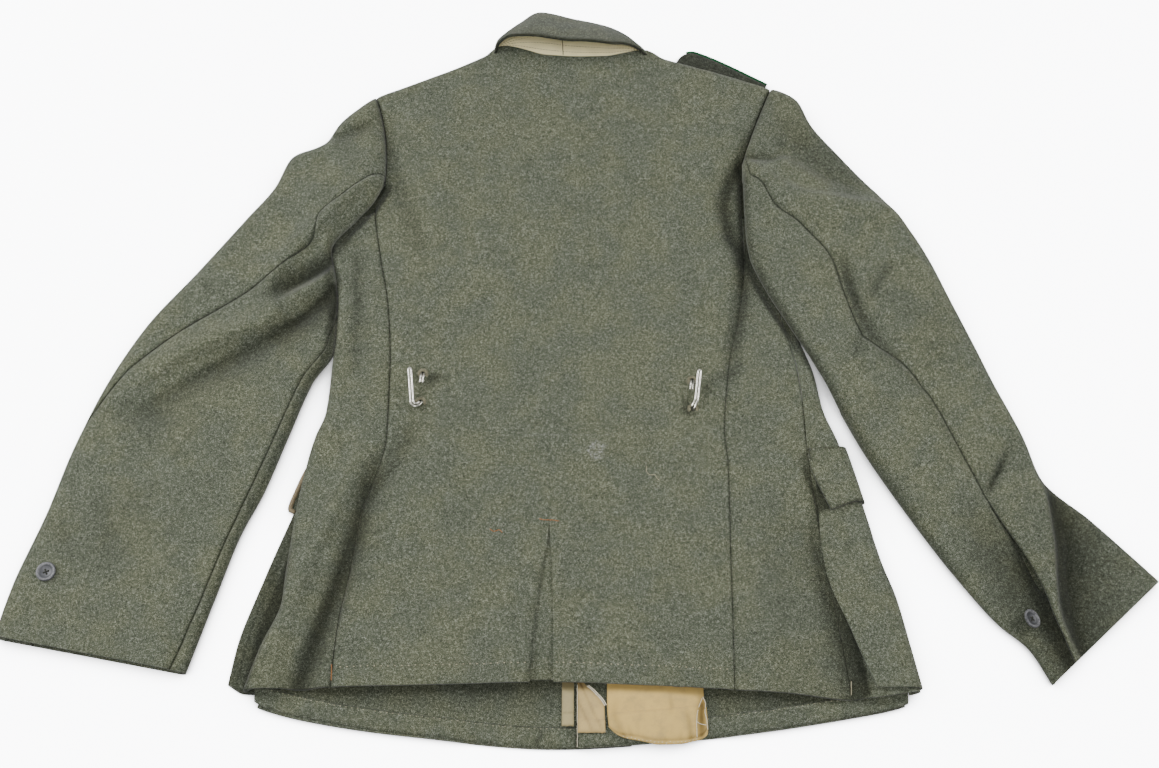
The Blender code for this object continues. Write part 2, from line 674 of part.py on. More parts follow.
def front_pair(side, x, y):
    """Give the outer and inner point of a front's flat part."""
    floor = front_floor(side, x, y)
    return Vector((x, y, floor)), Vector((x, y, floor + front_wall(x, y)))


def front_column(side, share, closure):
    """Give one column of a front, from its hem to the shoulder or the neckline."""
    bottom_side = -293.0 + UNDERLAY if side < 0 else 283.5
    hem = front_hem(mix(bottom_side, closure, share))
    top_x = mix(left_edge(276.0) if side < 0 else right_edge(285.5), closure, share)
    top = front_top_edge(top_x)
    floor = front_floor(side, top_x, top - SHOULDER_RADIUS)
    height = body_height(top_x, back_top(top_x) - SHOULDER_RADIUS)
    start, _, _ = shoulder_roll(top_x, top, 0.0, height, floor)
    ys = panel_rows(hem, 125.0) + [row.y for row in UNDER_ARMS[1:]] + spread(167.0, start, 4)[1:]
    pairs = [front_pair(side, mix(front_side(side, y), closure, share), y) for y in ys]
    for angle in ROLL_ANGLES:
        y, drop, normal = shoulder_roll(top_x, top, math.radians(angle), height, floor)
        x = mix(front_side(side, y), closure, share)
        outer = Vector((x, y, floor + drop))
        normal.z = -normal.z
        pairs.append((outer, outer - normal * WOOL))
    return pairs


def wrapped_column(turn, flat):
    """Give the column of the right front at a turn of its side fold, beside a flat column."""
    bottom = back_hem(side_point(1, turn, -350.0).x)
    last = len(PANEL_ROWS) + 2
    hem = flat[0][0].y
    ys = [pair[0].y for pair in flat[:last + 1]]
    line = []
    for y in ys:
        share = max(0.0, (PANEL_ROWS[0] - y) / (PANEL_ROWS[0] - hem))
        y += (bottom - hem) * share
        line.append(side_pair(1, turn, y, WOOL + (HEM_PLY if y < bottom + HEM_TURN else 0.0)))
    return line + [line[-1]] * (len(flat) - last - 1)


def right_front_grid():
    """Give the right front's grid, with its turns round the side fold first."""
    flat = [front_column(1, share, CLOSURE_RIGHT) for share in spread(0.0, 1.0, 9)]
    turns = spread(0.0, 1.0, 5) + spread(1.0, 2.0, 7)[1:]
    columns = [wrapped_column(turn, flat[0]) for turn in turns]
    return [list(row) for row in zip(*columns + flat)], len(turns)


def build_left_front(finish):
    """The left front lies flat on its outer face, beneath the right front."""
    columns = [front_column(-1, share, CLOSURE_LEFT) for share in spread(0.0, 1.0, 9)]
    grid = [list(row) for row in zip(*columns)]
    wall("front_left", grid, finish)
    return grid


def build_right_front(finish):
    """The right front lies flat too, and comes round its side fold to the top."""
    grid, turns = right_front_grid()
    last = len(PANEL_ROWS) + 2
    wall("front_right", grid, finish, lambda row, cell: cell >= turns or row < last)
    return grid, turns


# ---------------------------------------------------------------- sleeves

class Sleeve:
    """A flattened tube of cloth through sections from its armhole to its cuff."""

    def __init__(self, rows, folds, side):
        self.rows = rows
        self.folds = folds
        self.side = side
        names = Station._fields
        self.at = {name: along(rows, name) for name in names}

    def rest(self, x, y):
        """Give the height that the sleeve lies on: the table, or the body beneath it."""
        past = smoothstep((y - 130.0) / 12.0)
        if self.side < 0:
            edge = mix(fold_left(y), under_left(max(y, 125.0)), past)
            cover = smoothstep((x - edge + 20.0) / 14.0) * smoothstep((y - 80.0) / 12.0)
        else:
            edge = mix(fold_right(y), under_right(max(y, 125.0)), past)
            cover = smoothstep((edge + 20.0 - x) / 14.0)
        return SLEEVE_REST * cover * smoothstep((178.0 - y) / 10.0)

    def point(self, station, around, extra=()):
        """Give a point of the outer face: around is 0 at the outer edge and 1 at the inner."""
        around = around % 2.0
        outer = Vector((self.at["outer_x"](station), self.at["outer_y"](station)))
        inner = Vector((self.at["inner_x"](station), self.at["inner_y"](station)))
        width = (inner - outer).length
        under = around > 1.0
        if under:
            around = 2.0 - around
        mid = self.at["mid"](station)
        out_radius = mid if under else self.at["edge_out"](station)
        in_radius = mid if under else self.at["edge_in"](station)
        if around < ARC_SHARE:
            angle = 0.5 * math.pi * around / ARC_SHARE
            distance = out_radius * (1.0 - math.cos(angle))
            roundness = math.sin(angle)
        elif around > 1.0 - ARC_SHARE:
            angle = 0.5 * math.pi * (1.0 - around) / ARC_SHARE
            distance = width - in_radius * (1.0 - math.cos(angle))
            roundness = math.sin(angle)
        else:
            share = (around - ARC_SHARE) / (1.0 - 2.0 * ARC_SHARE)
            distance = mix(out_radius, width - in_radius, share)
            roundness = 1.0
        share = distance / width
        flat = outer + (inner - outer) * share
        flat.x += self.at["bow"](station) * 4.0 * share * (1.0 - share)
        rest = self.rest(flat.x, flat.y)
        if under:
            height = rest + mid * (1.0 - roundness)
        else:
            top = self.at["top"](station) + relief(self.folds, flat.x, flat.y)
            top += relief(extra, flat.x, flat.y)
            top = max(top, rest + 2.0 * WOOL + 1.6)
            if station < HEAD_RISE:
                risen = math.sqrt(1.0 - (1.0 - station / HEAD_RISE) ** 2)
                top = mix(max(body_height(flat.x, flat.y), rest + mid), top, risen)
            height = mix(rest + mid, max(top, rest + mid + 1.0), roundness)
        return Vector((flat.x, flat.y, height))

    def pair(self, station, around, extra=()):
        """Give the outer and inner point of the sleeve's wall."""
        outer = self.point(station, around, extra)
        at = max(station, 0.005)
        normal = surface_normal(lambda a, b: self.point(a, b, extra), at, around, 0.004)
        row = self.rows[0]
        axis = Vector((row.inner_y - row.outer_y, row.outer_x - row.inner_x, 0.0)).normalized()
        normal -= axis * normal.dot(axis) * (1.0 - smoothstep(station))
        return outer, outer + normal.normalized() * WOOL * self.side

    def half_gap(self, station, around):
        """Give half a seam's gap as a change of the way round."""
        step = 0.002
        reach = (self.point(station, around + step) - self.point(station, around - step)).length
        return 0.5 * (SEAM + 0.05) * 2.0 * step / reach

    def panel(self, name, finish, start, end, count, extra=()):
        """Build the part of the tube between two seams, given as functions of the station."""
        rows = []
        for station in [0.0, 0.1, 0.24] + spread(HEAD_RISE, len(self.rows) - 1.0, SLEEVE_ROWS):
            first = start(station) + self.half_gap(station, start(station))
            last = end(station) - self.half_gap(station, end(station))
            rows.append([self.pair(station, around, extra) for around in spread(first, last, count)])
        return wall(name, rows, finish)


def build_sleeves(finish):
    """Each sleeve is cut in two: a top sleeve and an under sleeve."""
    left = Sleeve(LEFT_SLEEVE, LEFT_SLEEVE_FOLDS, -1)
    right = Sleeve(RIGHT_SLEEVE, RIGHT_SLEEVE_FOLDS, 1)
    left.panel("sleeve_top_left", finish, left.at["forearm"],
               lambda s: 2.0 + left.at["elbow"](s), 19)
    left.panel("sleeve_under_left", finish, left.at["elbow"], left.at["forearm"], 13)
    right.panel("sleeve_top_right", finish, right.at["forearm"],
                lambda s: 2.0 + right.at["elbow"](s), 19, VENT_FLAP_FOLDS)
    right.panel("sleeve_under_right", finish,
                lambda s: right.at["elbow"](s) - right.at["lap"](s),
                right.at["forearm"], 12, VENT_UNDER_FOLDS)
    return left, right


# ---------------------------------------------------------------- collar

def collar_curves():
    """Return smooth functions of the collar's three lines over the row's number."""
    curves = {}
    for line in Collar._fields:
        parts = [along([Vector(getattr(row, line)) for row in COLLAR], axis) for axis in "xyz"]
        curves[line] = lambda station, parts=parts: Vector([part(station) for part in parts])
    return curves


def band(start_of, end_of, shares, rows, thickness, last_of=lambda station: 1.0):
    """Make rows of (outer, inner) points of a band between two lines."""
    def surface(station, share):
        return start_of(station).lerp(end_of(station), share)

    grid = []
    for station in rows:
        line = []
        for share in [last_of(station) * share for share in shares]:
            outer = surface(station, share)
            normal = surface_normal(surface, station, share, 0.02)
            line.append((outer, outer + normal * thickness))
        grid.append(line)
    return grid


def build_collar(wool, drill):
    """The stand rises from the neck seam, and the fall turns over it and stands open."""
    lines = collar_curves()
    rows = spread(0.0, len(COLLAR) - 1.0, 26)

    def stand_share(station):
        """Give the share of the stand that is clear of the fall's wall."""
        back = lines["neck"](station) - lines["roll"](station)
        angle = back.angle(lines["edge"](station) - lines["roll"](station))
        return max(0.3, 1.0 - (FALL_WALL + SEAM + 0.5) / math.sin(angle) / back.length)

    stand = band(lines["neck"], lines["roll"], spread(0.0, 1.0, 3), rows, -STAND_WALL, stand_share)
    wall("collar_stand", stand, drill)
    fall = band(lines["roll"], lines["edge"], spread(0.0, 1.0, 4), rows, FALL_WALL)
    wall("collar_fall", fall, wool)


# ---------------------------------------------------------------- small pieces on the cloth

def laid_on(grid, row, across, lift, thickness):
    """Give the points of a cloth laid on a panel, at a place between its rows and columns."""
    low_row = min(int(row), len(grid) - 2)
    low_column = min(int(across), len(grid[0]) - 2)
    point = Vector((0.0, 0.0, 0.0))
    normal = Vector((0.0, 0.0, 0.0))
    for above in (0, 1):
        for beside in (0, 1):
            outer, inner = grid[low_row + above][low_column + beside]
            share = abs(1 - above - (row - low_row)) * abs(1 - beside - (across - low_column))
            point += outer * share
            normal += (outer - inner).normalized() * share
    normal.normalize()
    return point + normal * (lift + thickness), point + normal * lift


def row_at(grid, across, y):
    """Find the place between rows where a column reaches a height y."""
    for row in range(len(grid) - 1):
        low = grid[row][across][0].y
        high = grid[row + 1][across][0].y
        if low <= y < high:
            return row + (y - low) / (high - low)
    return 0.0


def column_at(grid, row, x):
    """Find the place between columns of the upper face where a row reaches x."""
    line = [mix(grid[int(row)][c][0].x, grid[int(row) + 1][c][0].x, row % 1.0) for c in range(7)]
    for index in range(6):
        if line[index] <= x < line[index + 1]:
            return index + (x - line[index]) / (line[index + 1] - line[index])
    return 0.0


def laid_right(name, grid, lower, upper, edge_of, last, lift, finish):
    """Build a cloth on the right front from its left edge round the side fold."""
    first = 4
    rows = [row_at(grid, first, lower)]
    end = row_at(grid, first, upper)
    rows += [float(row) for row in range(int(rows[0]) + 1, int(end) + 1) if row < end - 0.05]
    rows.append(end)
    built = []
    for row in rows:
        y = mix(grid[int(row)][first][0].y, grid[int(row) + 1][first][0].y, row % 1.0)
        start = column_at(grid, row, edge_of(y))
        columns = [max(start, float(index)) for index in range(int(start) if start > 4 else 0, last + 1)]
        built.append([laid_on(grid, row, across, lift, POCKET_WOOL) for across in columns])
    return wall(name, built, finish)


def build_right_pocket(grid, finish):
    """The right lower pocket and its flap lie on the front and go round its side fold."""
    edge_of = curve_through([-350.0, -305.0, -227.0, -130.0], [260.5, 243.5, 222.5, 217.0])
    laid_right("pocket_right", grid, -347.0, -128.0, edge_of, 16, SEAM, finish)
    flap_edge = curve_through([-183.0, -122.0], [230.0, 206.5])
    laid_right("pocket_flap_right", grid, -181.0, -121.0, flap_edge, 16, SEAM + POCKET_RISE, finish)


def build_left_pocket(wool):
    """The left lower pocket lies on the table under the front and shows past the fold."""
    outer = curve_through([-345.0, -300.0, -238.0, -181.0], [-310.5, -304.0, -285.0, -264.5])
    bottom = curve_through([-310.0, -295.0, -200.0, -100.0], [-341.0, -349.0, -352.0, -353.0])
    rows = []
    for share in spread(0.0, 1.0, 10):
        line = []
        for across in spread(0.0, 1.0, 6):
            y = mix(-343.0, -181.0, share)
            x = mix(outer(y), -145.0, across)
            y = mix(bottom(x), -181.0, share)
            line.append((Vector((x, y, POCKET_WOOL)), Vector((x, y, 0.0))))
        rows.append(line)
    wall("pocket_left", rows, wool)


def build_left_flap(finish):
    """The left flap shows only its corner past the fold."""
    rows = []
    for share in spread(0.0, 1.0, 3):
        y = mix(-178.0, -128.0, share)
        outer = mix(-269.5, -250.0, share)
        rows.append([(Vector((x, y, POCKET_WOOL)), Vector((x, y, 0.0)))
                     for x in spread(outer, -145.0, 2)])
    return wall("pocket_flap_left", rows, finish)


def inside_height(flat, x, y):
    """Find the height of the inner face of a front's flat columns at a place in plan."""
    index = max(1, min(len(flat[0]) - 1, sum(abs(pair[1].x) > abs(x) for pair in flat[0])))
    if flat[0][0][0].x < 0:
        index = max(1, min(len(flat[0]) - 1, sum(pair[1].x < x for pair in flat[0])))
    line = []
    for row in flat:
        start = row[index - 1][1]
        end = row[index][1]
        line.append(start.lerp(end, (x - start.x) / (end.x - start.x)))
    below = max(0, min(len(line) - 2, sum(point.y <= y for point in line) - 1))
    share = (y - line[below].y) / (line[below + 1].y - line[below].y)
    return mix(line[below].z, line[below + 1].z, min(1.0, max(0.0, share)))


def inside_pair(flat, x, y, thickness):
    """Give the points of a cloth that lies on the inside of a front."""
    reach = [inside_height(flat, x + aside, y - back) for aside in (-4, 0, 4) for back in (0, 3.5)]
    lower = max(reach) + SEAM
    return Vector((x, y, lower + thickness)), Vector((x, y, lower))


def build_facings(left, right, finish):
    """Strips of drill face the inside of both front edges."""
    for flat, name, x_range, hem in (
            (left, "facing_left", (-15.0, -5.0), -377.0),
            (right, "facing_right", (0.0, 20.0), -381.0)):
        rows = []
        for y in (hem, -375.4, -371.0, -309.0, -280.0, -250.0):
            rows.append([inside_pair(flat, x, y, DRILL) for x in spread(*x_range, 2)])
        wall(name, rows, finish)


def build_pouch(flat, finish):
    """The small inner pouch hangs from inside and sags over the front hem."""
    half_width = 45.5
    centre_x = 70.0
    rows = []
    for share in spread(0.0, 1.0, 9):
        line = []
        for across in spread(-1.0, 1.0, 9):
            x = centre_x + half_width * across
            bottom = -399.0 + 14.0 * abs(across) ** 3
            y = mix(bottom, -292.0, share)
            hem = front_hem(x)
            lower = max(inside_height(flat, x + aside, max(y - back, hem + 2.0))
                        for aside in (-5.0, 0.0, 5.0) for back in (0.0, 5.0, 10.0)) + SEAM
            lower -= 1.6 * smoothstep((hem - 4.0 - y) / 8.0)
            round_x = math.sqrt(max(0.0, 1.0 - abs(across) ** 5))
            round_y = smoothstep(share / 0.12) * smoothstep((1.0 - share) / 0.3)
            shown = smoothstep((back_hem(x) - 2.0 - y) / 8.0)
            depth = 1.6 + 2.2 * round_x * round_y * shown
            line.append((Vector((x, y, lower + depth)), Vector((x, y, lower))))
        rows.append(line)
    return wall("inner_pouch", rows, finish)


def build_strap(finish, piping):
    """The shoulder strap lies under the right shoulder and shows past its line."""
    start, run, inward = strap_frame()
    length = (Vector(STRAP_OUTER[1]) - start).length
    rows = []
    for lengthwise in spread(0.0, 1.0, 10):
        reach = lengthwise * length
        cut = STRAP_TIP * (1.0 - math.sqrt(max(0.0, 1.0 - (1.0 - min(1.0, reach / STRAP_TIP)) ** 2)))
        line = []
        for across in spread(cut, STRAP_WIDTH - cut, 3):
            flat = start + run * reach + inward * across
            line.append((Vector((*flat, STRAP_WALL)), Vector((*flat, 0.0))))
        rows.append(line)
    wall("shoulder_strap", rows, finish)
    path = []
    for share in spread(0.06, 1.0, 10):
        reach = share * length
        cut = STRAP_TIP * (1.0 - math.sqrt(max(0.0, 1.0 - (1.0 - min(1.0, reach / STRAP_TIP)) ** 2)))
        flat = start + run * reach + inward * (cut - PIPING_RADIUS - SEAM - 0.4)
        path.append(Vector((*flat, STRAP_WALL - PIPING_RADIUS)))
    tube("strap_piping", path, PIPING_RADIUS, piping, 6)


def tube(name, path, radius, finish, sides, twin=0.0, twin_axis=Vector((1.0, 0.0, 0.0))):
    """Sweep a round section, or two side by side, along a path."""
    shape = bmesh.new()
    rings = []
    for index, centre in enumerate(path):
        before = path[max(0, index - 1)]
        after = path[min(len(path) - 1, index + 1)]
        forward = (after - before).normalized()
        first = (twin_axis - forward * twin_axis.dot(forward)).normalized()
        second = forward.cross(first)
        ring = []
        for step in range(sides):
            angle = 2.0 * math.pi * (step + 0.5) / sides
            across = math.cos(angle) * radius
            across += math.copysign(twin, across)
            ring.append(shape.verts.new(place(centre + first * across
                                              + second * math.sin(angle) * radius)))
        rings.append(ring)
    for ring, following in zip(rings, rings[1:]):
        for step in range(sides):
            shape.faces.new([ring[step], ring[(step + 1) % sides],
                             following[(step + 1) % sides], following[step]])
    shape.faces.new(reversed(rings[0]))
    shape.faces.new(rings[-1])
    return add_object(name, shape, finish)


def turned(name, centre, normal, profile, segments, finish):
    """Turn a closed profile of (radius, height) points about an axis through the centre."""
    shape = bmesh.new()
    side = normal.orthogonal().normalized()
    other = normal.cross(side)
    rings = []
    for step in range(segments):
        angle = 2.0 * math.pi * step / segments
        out = side * math.cos(angle) + other * math.sin(angle)
        rings.append([shape.verts.new(place(centre + out * radius + normal * height))
                      for radius, height in profile])
    count = len(profile)
    for ring, following in zip(rings, rings[1:] + rings[:1]):
        for index in range(count):
            shape.faces.new([ring[index], following[index],
                             following[(index + 1) % count], ring[(index + 1) % count]])
    bmesh.ops.remove_doubles(shape, verts=shape.verts[:], dist=1e-6)
    return add_object(name, shape, finish)


def build_buttons(left_sleeve, right_sleeve, finish):
    """A dished button stands on the cloth of each cuff."""
    profile = ((0.001, 0.0), (BUTTON_RADIUS * 0.82, 0.0), (BUTTON_RADIUS, 1.4),
               (BUTTON_RADIUS * 0.97, BUTTON_HEIGHT - 0.5), (BUTTON_RADIUS * 0.86, BUTTON_HEIGHT),
               (BUTTON_RADIUS * 0.68, BUTTON_HEIGHT - 1.1), (0.001, BUTTON_HEIGHT - 1.3))
    left_z, left_normal = sleeve_top(left_sleeve, LEFT_BUTTON, ())
    right_z, right_normal = sleeve_top(right_sleeve, RIGHT_BUTTON, VENT_UNDER_FOLDS)
    turned("cuff_button_left", Vector((*LEFT_BUTTON, left_z + 0.35)), left_normal, profile, 20, finish)
    tilt = Vector((math.sin(RIGHT_BUTTON_TILT), 0.2, math.cos(RIGHT_BUTTON_TILT))).normalized()
    turned("cuff_button_right", Vector((*RIGHT_BUTTON, right_z + 3.4)), tilt, profile, 20, finish)
    return right_normal


def sleeve_top(sleeve, spot, extra):
    """Find the height and the normal of a sleeve's upper face at a spot in plan."""
    target = Vector(spot)
    best = min(((sleeve.point(s * 0.1, a * 0.02, extra).xy - target).length, s * 0.1, a * 0.02)
               for s in range(80, 10 * (len(sleeve.rows) - 1) + 1) for a in range(5, 46))
    point = sleeve.point(best[1], best[2], extra)
    normal = surface_normal(lambda a, b: sleeve.point(a, b, extra), best[1], best[2], 0.004)
    return point.z, normal if normal.z > 0 else -normal


def build_hooks(nickel, brass):
    """A doubled wire hook comes out of the lower eyelet, and its tail out of the upper one."""
    for name, lower, upper, lean in HOOKS:
        base = body_height(*lower)
        stand = base + HOOK_STAND_OFF
        low = Vector((*lower, base))
        path = [low + Vector((0, 0, 0.6)), low + Vector((0, -1.5, 3.0)),
                low + Vector((lean * 2.5, -4.0, 4.2)), low + Vector((lean * 6.0, -5.2, 5.0)),
                low + Vector((lean * 9.2, -3.2, 5.6))]
        top = Vector((*lower, stand)) + Vector((lean * 11.0, HOOK_LENGTH - 4.0, 4.0))
        path += [path[-1].lerp(top, share) + Vector((lean * 1.2 * math.sin(math.pi * share), 0, 0))
                 for share in (0.12, 0.5, 0.85, 1.0)]
        tube("belt_hook_" + name, path, WIRE_RADIUS, nickel, 8, WIRE_RADIUS)
        high = Vector((*upper, body_height(*upper)))
        tail = [high + Vector((0, 0, 0.6)), high + Vector((0, -1.2, 3.0)),
                high + Vector((lean * -0.6, -4.2, 4.0)), high + Vector((lean * -0.8, -11.0, 3.6))]
        tube("belt_hook_tail_" + name, tail, WIRE_RADIUS, nickel, 8, WIRE_RADIUS)
        for label, spot in (("lower", lower), ("upper", upper)):
            centre = Vector((*spot, body_height(*spot)))
            normal = slope_normal(body_height, *spot)
            ring = [(EYELET_BORE, 0.35), (EYELET_RADIUS, 0.35), (EYELET_RADIUS - 0.5, 1.3),
                    (EYELET_BORE + 0.3, 1.5)]
            turned("eyelet_" + label + "_" + name, centre, normal, ring, 12, brass)


def main():
    """Clear the scene and build every piece."""
    for item in list(bpy.data.objects):
        bpy.data.objects.remove(item)
    wool = material("wool", (0.095, 0.105, 0.075), 0.95)
    dark_wool = material("dark_wool", (0.03, 0.045, 0.035), 0.9)
    drill = material("cotton_drill", (0.45, 0.37, 0.25), 0.9)
    green = material("green_piping", (0.01, 0.16, 0.07), 0.7)
    horn = material("grey_button", (0.12, 0.12, 0.13), 0.5)
    nickel = material("nickel_wire", (0.62, 0.61, 0.58), 0.3, 1.0)
    brass = material("brass", (0.35, 0.28, 0.17), 0.45, 1.0)
    build_back(wool)
    build_vent_underlap(wool)
    build_left_side(wool)
    build_right_side(wool)
    left_front = build_left_front(wool)
    right_front, turns = build_right_front(wool)
    flat = [row[turns:] for row in right_front]
    left_sleeve, right_sleeve = build_sleeves(wool)
    build_collar(wool, drill)
    build_right_pocket(right_front, wool)
    build_left_pocket(wool)
    build_left_flap(wool)
    build_facings(left_front, flat, drill)
    build_pouch(flat, drill)
    build_strap(dark_wool, green)
    build_buttons(left_sleeve, right_sleeve, horn)
    build_hooks(nickel, brass)


main()
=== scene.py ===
"""A field tunic of heavy wool, laid face down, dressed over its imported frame.

Lengths are millimetres in the plan of the laid garment, and placed() turns them into the frame's
metres: +X is the garment's right as it lies, +Y runs from hem to collar, +Z is up.
"""
from __future__ import annotations

import logging
import math
from collections.abc import Callable, Sequence
from dataclasses import dataclass, field
from enum import Enum
from functools import lru_cache

import bmesh
import bpy
from mathutils import Matrix, Vector, noise

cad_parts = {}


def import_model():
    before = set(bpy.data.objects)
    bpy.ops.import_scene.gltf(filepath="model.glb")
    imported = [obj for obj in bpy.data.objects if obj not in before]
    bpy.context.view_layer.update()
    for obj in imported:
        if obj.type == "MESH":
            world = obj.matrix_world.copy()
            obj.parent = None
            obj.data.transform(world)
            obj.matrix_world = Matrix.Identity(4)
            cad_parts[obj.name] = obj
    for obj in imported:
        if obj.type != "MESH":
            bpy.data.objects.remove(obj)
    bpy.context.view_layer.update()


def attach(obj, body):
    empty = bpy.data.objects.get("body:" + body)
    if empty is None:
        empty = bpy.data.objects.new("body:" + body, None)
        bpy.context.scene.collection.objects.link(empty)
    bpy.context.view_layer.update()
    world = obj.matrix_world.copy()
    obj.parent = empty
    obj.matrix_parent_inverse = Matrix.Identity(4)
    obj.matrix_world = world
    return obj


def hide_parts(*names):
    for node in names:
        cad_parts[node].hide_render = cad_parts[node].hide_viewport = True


LOG = logging.getLogger("tunic")
MIDDLE = Vector((1.5, -11.0, 0.0))
METRE = 0.001
UP = Vector((0.0, 0.0, 1.0))
Piece = bpy.types.Object
Material = bpy.types.Material
Shape = bmesh.types.BMesh
Pair = tuple[float, float]
Triple = tuple[float, float, float]
Table = tuple[tuple[float, ...], ...]
Surface = Callable[[float, float], Vector]
Shading = Callable[[float, float], float]


# ---- numbers and curves

def smoothstep(value: float) -> float:
    """Rise smoothly from 0 to 1 as the value does."""
    value = min(1.0, max(0.0, value))
    return value * value * (3.0 - 2.0 * value)


def mix(start: float, end: float, share: float) -> float:
    """Blend two numbers."""
    return start + (end - start) * share


def placed(point: Sequence[float]) -> Vector:
    """Turn a point in plan millimetres into the frame's metres."""
    return (Vector(point) - MIDDLE) * METRE


def spread(start: float, end: float, count: int) -> list[float]:
    """Give count + 1 numbers from start to end."""
    return [mix(start, end, index / count) for index in range(count + 1)]


def table(text: str) -> Table:
    """Read a table of numbers, whose rows are parted by commas."""
    return tuple(tuple(float(part) for part in row.split()) for row in text.split(","))


def bell(distance: float, width: float) -> float:
    """Fall from 1 at no distance to nearly 0 at twice the width."""
    return math.exp(-(distance / width) ** 2)


def ripple(x: float, y: float, z: float) -> float:
    """Give smooth noise at a point."""
    return noise.noise(Vector((x, y, z)))


def knots(length: float, cell: float, near: tuple[float, ...] = (0.9, 2.2, 4.0)) -> list[float]:
    """Give the shares of a width at which a panel has its columns, closer by both edges.

    Args:
        length: the width in millimetres.
        cell: the usual distance between columns.
        near: the distances of the first columns from each edge.

    Returns:
        Numbers from 0 to 1.
    """
    start = near[-1] / length
    middle = spread(start, 1.0 - start, max(2, round((length - 2.0 * near[-1]) / cell)))
    edge = [distance / length for distance in near[:-1]]
    return [0.0] + edge + middle + [1.0 - share for share in reversed(edge)] + [1.0]


class Curve:
    """A smooth curve through points that doesn't overshoot between them."""

    def __init__(self, keys: Sequence[float], values: Sequence[float]) -> None:
        """Work out the curve's tangents.

        Args:
            keys: the rising places of the points.
            values: the curve's value at each.
        """
        self.keys = list(keys)
        self.values = list(values)
        self.steps = [after - before for before, after in zip(keys, keys[1:])]
        slopes = [(b - a) / step for a, b, step in zip(values, values[1:], self.steps)]
        self.tangents = [slopes[0]]
        for before, after in zip(slopes, slopes[1:]):
            level = before * after <= 0.0
            self.tangents.append(0.0 if level else 2.0 * before * after / (before + after))
        self.tangents.append(slopes[-1])

    def __call__(self, key: float) -> float:
        """Give the curve's value; past its ends it runs straight on."""
        keys, values, tangents = self.keys, self.values, self.tangents
        if key <= keys[0]:
            return values[0] + tangents[0] * (key - keys[0])
        if key >= keys[-1]:
            return values[-1] + tangents[-1] * (key - keys[-1])
        index = max(i for i, start in enumerate(keys[:-1]) if start <= key)
        share = (key - keys[index]) / self.steps[index]
        lead = share * (1.0 - share) ** 2 * tangents[index]
        tail = share * share * (share - 1.0) * tangents[index + 1]
        flat = mix(values[index], values[index + 1], smoothstep(share))
        return flat + self.steps[index] * (lead + tail)


def curves(rows: Table, count: int) -> list[Callable[[float], float]]:
    """Give the curves of a table's columns over its first column, each keeping what it has worked out."""
    keys = [row[0] for row in rows]
    return [lru_cache(None)(Curve(keys, [row[column] for row in rows])) for column in range(1, count + 1)]


@dataclass(frozen=True)
class Fold:
    """A soft ridge or trough from one point in plan to another.

    Its half widths are those to the left and to the right of the way from start to end.
    """

    x0: float
    y0: float
    x1: float
    y1: float
    rise: float
    left: float
    right: float

    def at(self, x: float, y: float) -> float:
        """Give what the fold adds to the height at a point."""
        run_x, run_y = self.x1 - self.x0, self.y1 - self.y0
        length = math.hypot(run_x, run_y)
        aside = ((y - self.y0) * run_x - (x - self.x0) * run_y) / length
        width = self.left if aside > 0 else self.right
        if abs(aside) > 2.6 * width:
            return 0.0
        forward = ((x - self.x0) * run_x + (y - self.y0) * run_y) / length
        fade = 0.5 * (self.left + self.right) + 0.12 * length
        ends = smoothstep((forward + 0.4 * fade) / fade)
        ends *= smoothstep((length + 0.4 * fade - forward) / fade)
        return self.rise * ends * math.exp(-(aside / width) ** 2)


class Crease:
    """A ridge or trough along a curved line, whose rise changes on its way.

    Its half widths are those to the left and to the right of the way from start to end.
    """

    def __init__(self, path: Table, left: float, right: float) -> None:
        """Sample the line every few millimetres.

        Args:
            path: plan x, plan y and rise of its points.
            left: the half width on its left.
            right: the half width on its right.
        """
        self.left, self.right = left, right
        keys = [0.0]
        for before, after in zip(path, path[1:]):
            keys.append(keys[-1] + math.hypot(after[0] - before[0], after[1] - before[1]))
        curves = [Curve(keys, [point[axis] for point in path]) for axis in range(3)]
        places = spread(0.0, keys[-1], max(3, round(keys[-1] / 6.0)))
        points = [tuple(curve(at) for curve in curves) for at in places]
        self.samples = []
        for index, (x, y, rise) in enumerate(points):
            behind, ahead = points[max(index - 1, 0)], points[min(index + 1, len(points) - 1)]
            run = math.hypot(ahead[0] - behind[0], ahead[1] - behind[1])
            self.samples.append((x, y, rise, (ahead[0] - behind[0]) / run, (ahead[1] - behind[1]) / run,
                                 (ahead[2] - behind[2]) / run))
        reach = 2.3 * max(left, right)
        self.box = (min(point[0] for point in points) - reach, max(point[0] for point in points) + reach,
                    min(point[1] for point in points) - reach, max(point[1] for point in points) + reach)

    def at(self, x: float, y: float) -> float:
        """Give what the crease adds to the height at a point."""
        low_x, high_x, low_y, high_y = self.box
        if x < low_x or x > high_x or y < low_y or y > high_y:
            return 0.0
        near = min(self.samples, key=lambda sample: (sample[0] - x) ** 2 + (sample[1] - y) ** 2)
        off_x, off_y = x - near[0], y - near[1]
        forward = off_x * near[3] + off_y * near[4]
        aside = off_y * near[3] - off_x * near[4]
        width = self.left if aside > 0.0 else self.right
        over = max(0.0, abs(forward) - 5.0)
        rise = near[2] + near[5] * max(-5.0, min(5.0, forward))
        return rise * math.exp(-(aside / width) ** 2 - (over / (0.6 * (self.left + self.right))) ** 2)


Reliefs = tuple["Fold | Crease", ...]


def reliefs(text: str) -> Reliefs:
    """Read folds and creases, which are parted by bars.

    Args:
        text: each crease as the x, y and rise of its line's points, a colon and its half widths, and each
            fold as the numbers of a Fold.

    Returns:
        The folds and creases.
    """
    made = []
    for entry in text.split("|"):
        line, _, widths = entry.rpartition(":")
        sizes = [float(part) for part in widths.split()]
        made.append(Crease(table(line), *sizes) if line else Fold(*sizes))
    return tuple(made)


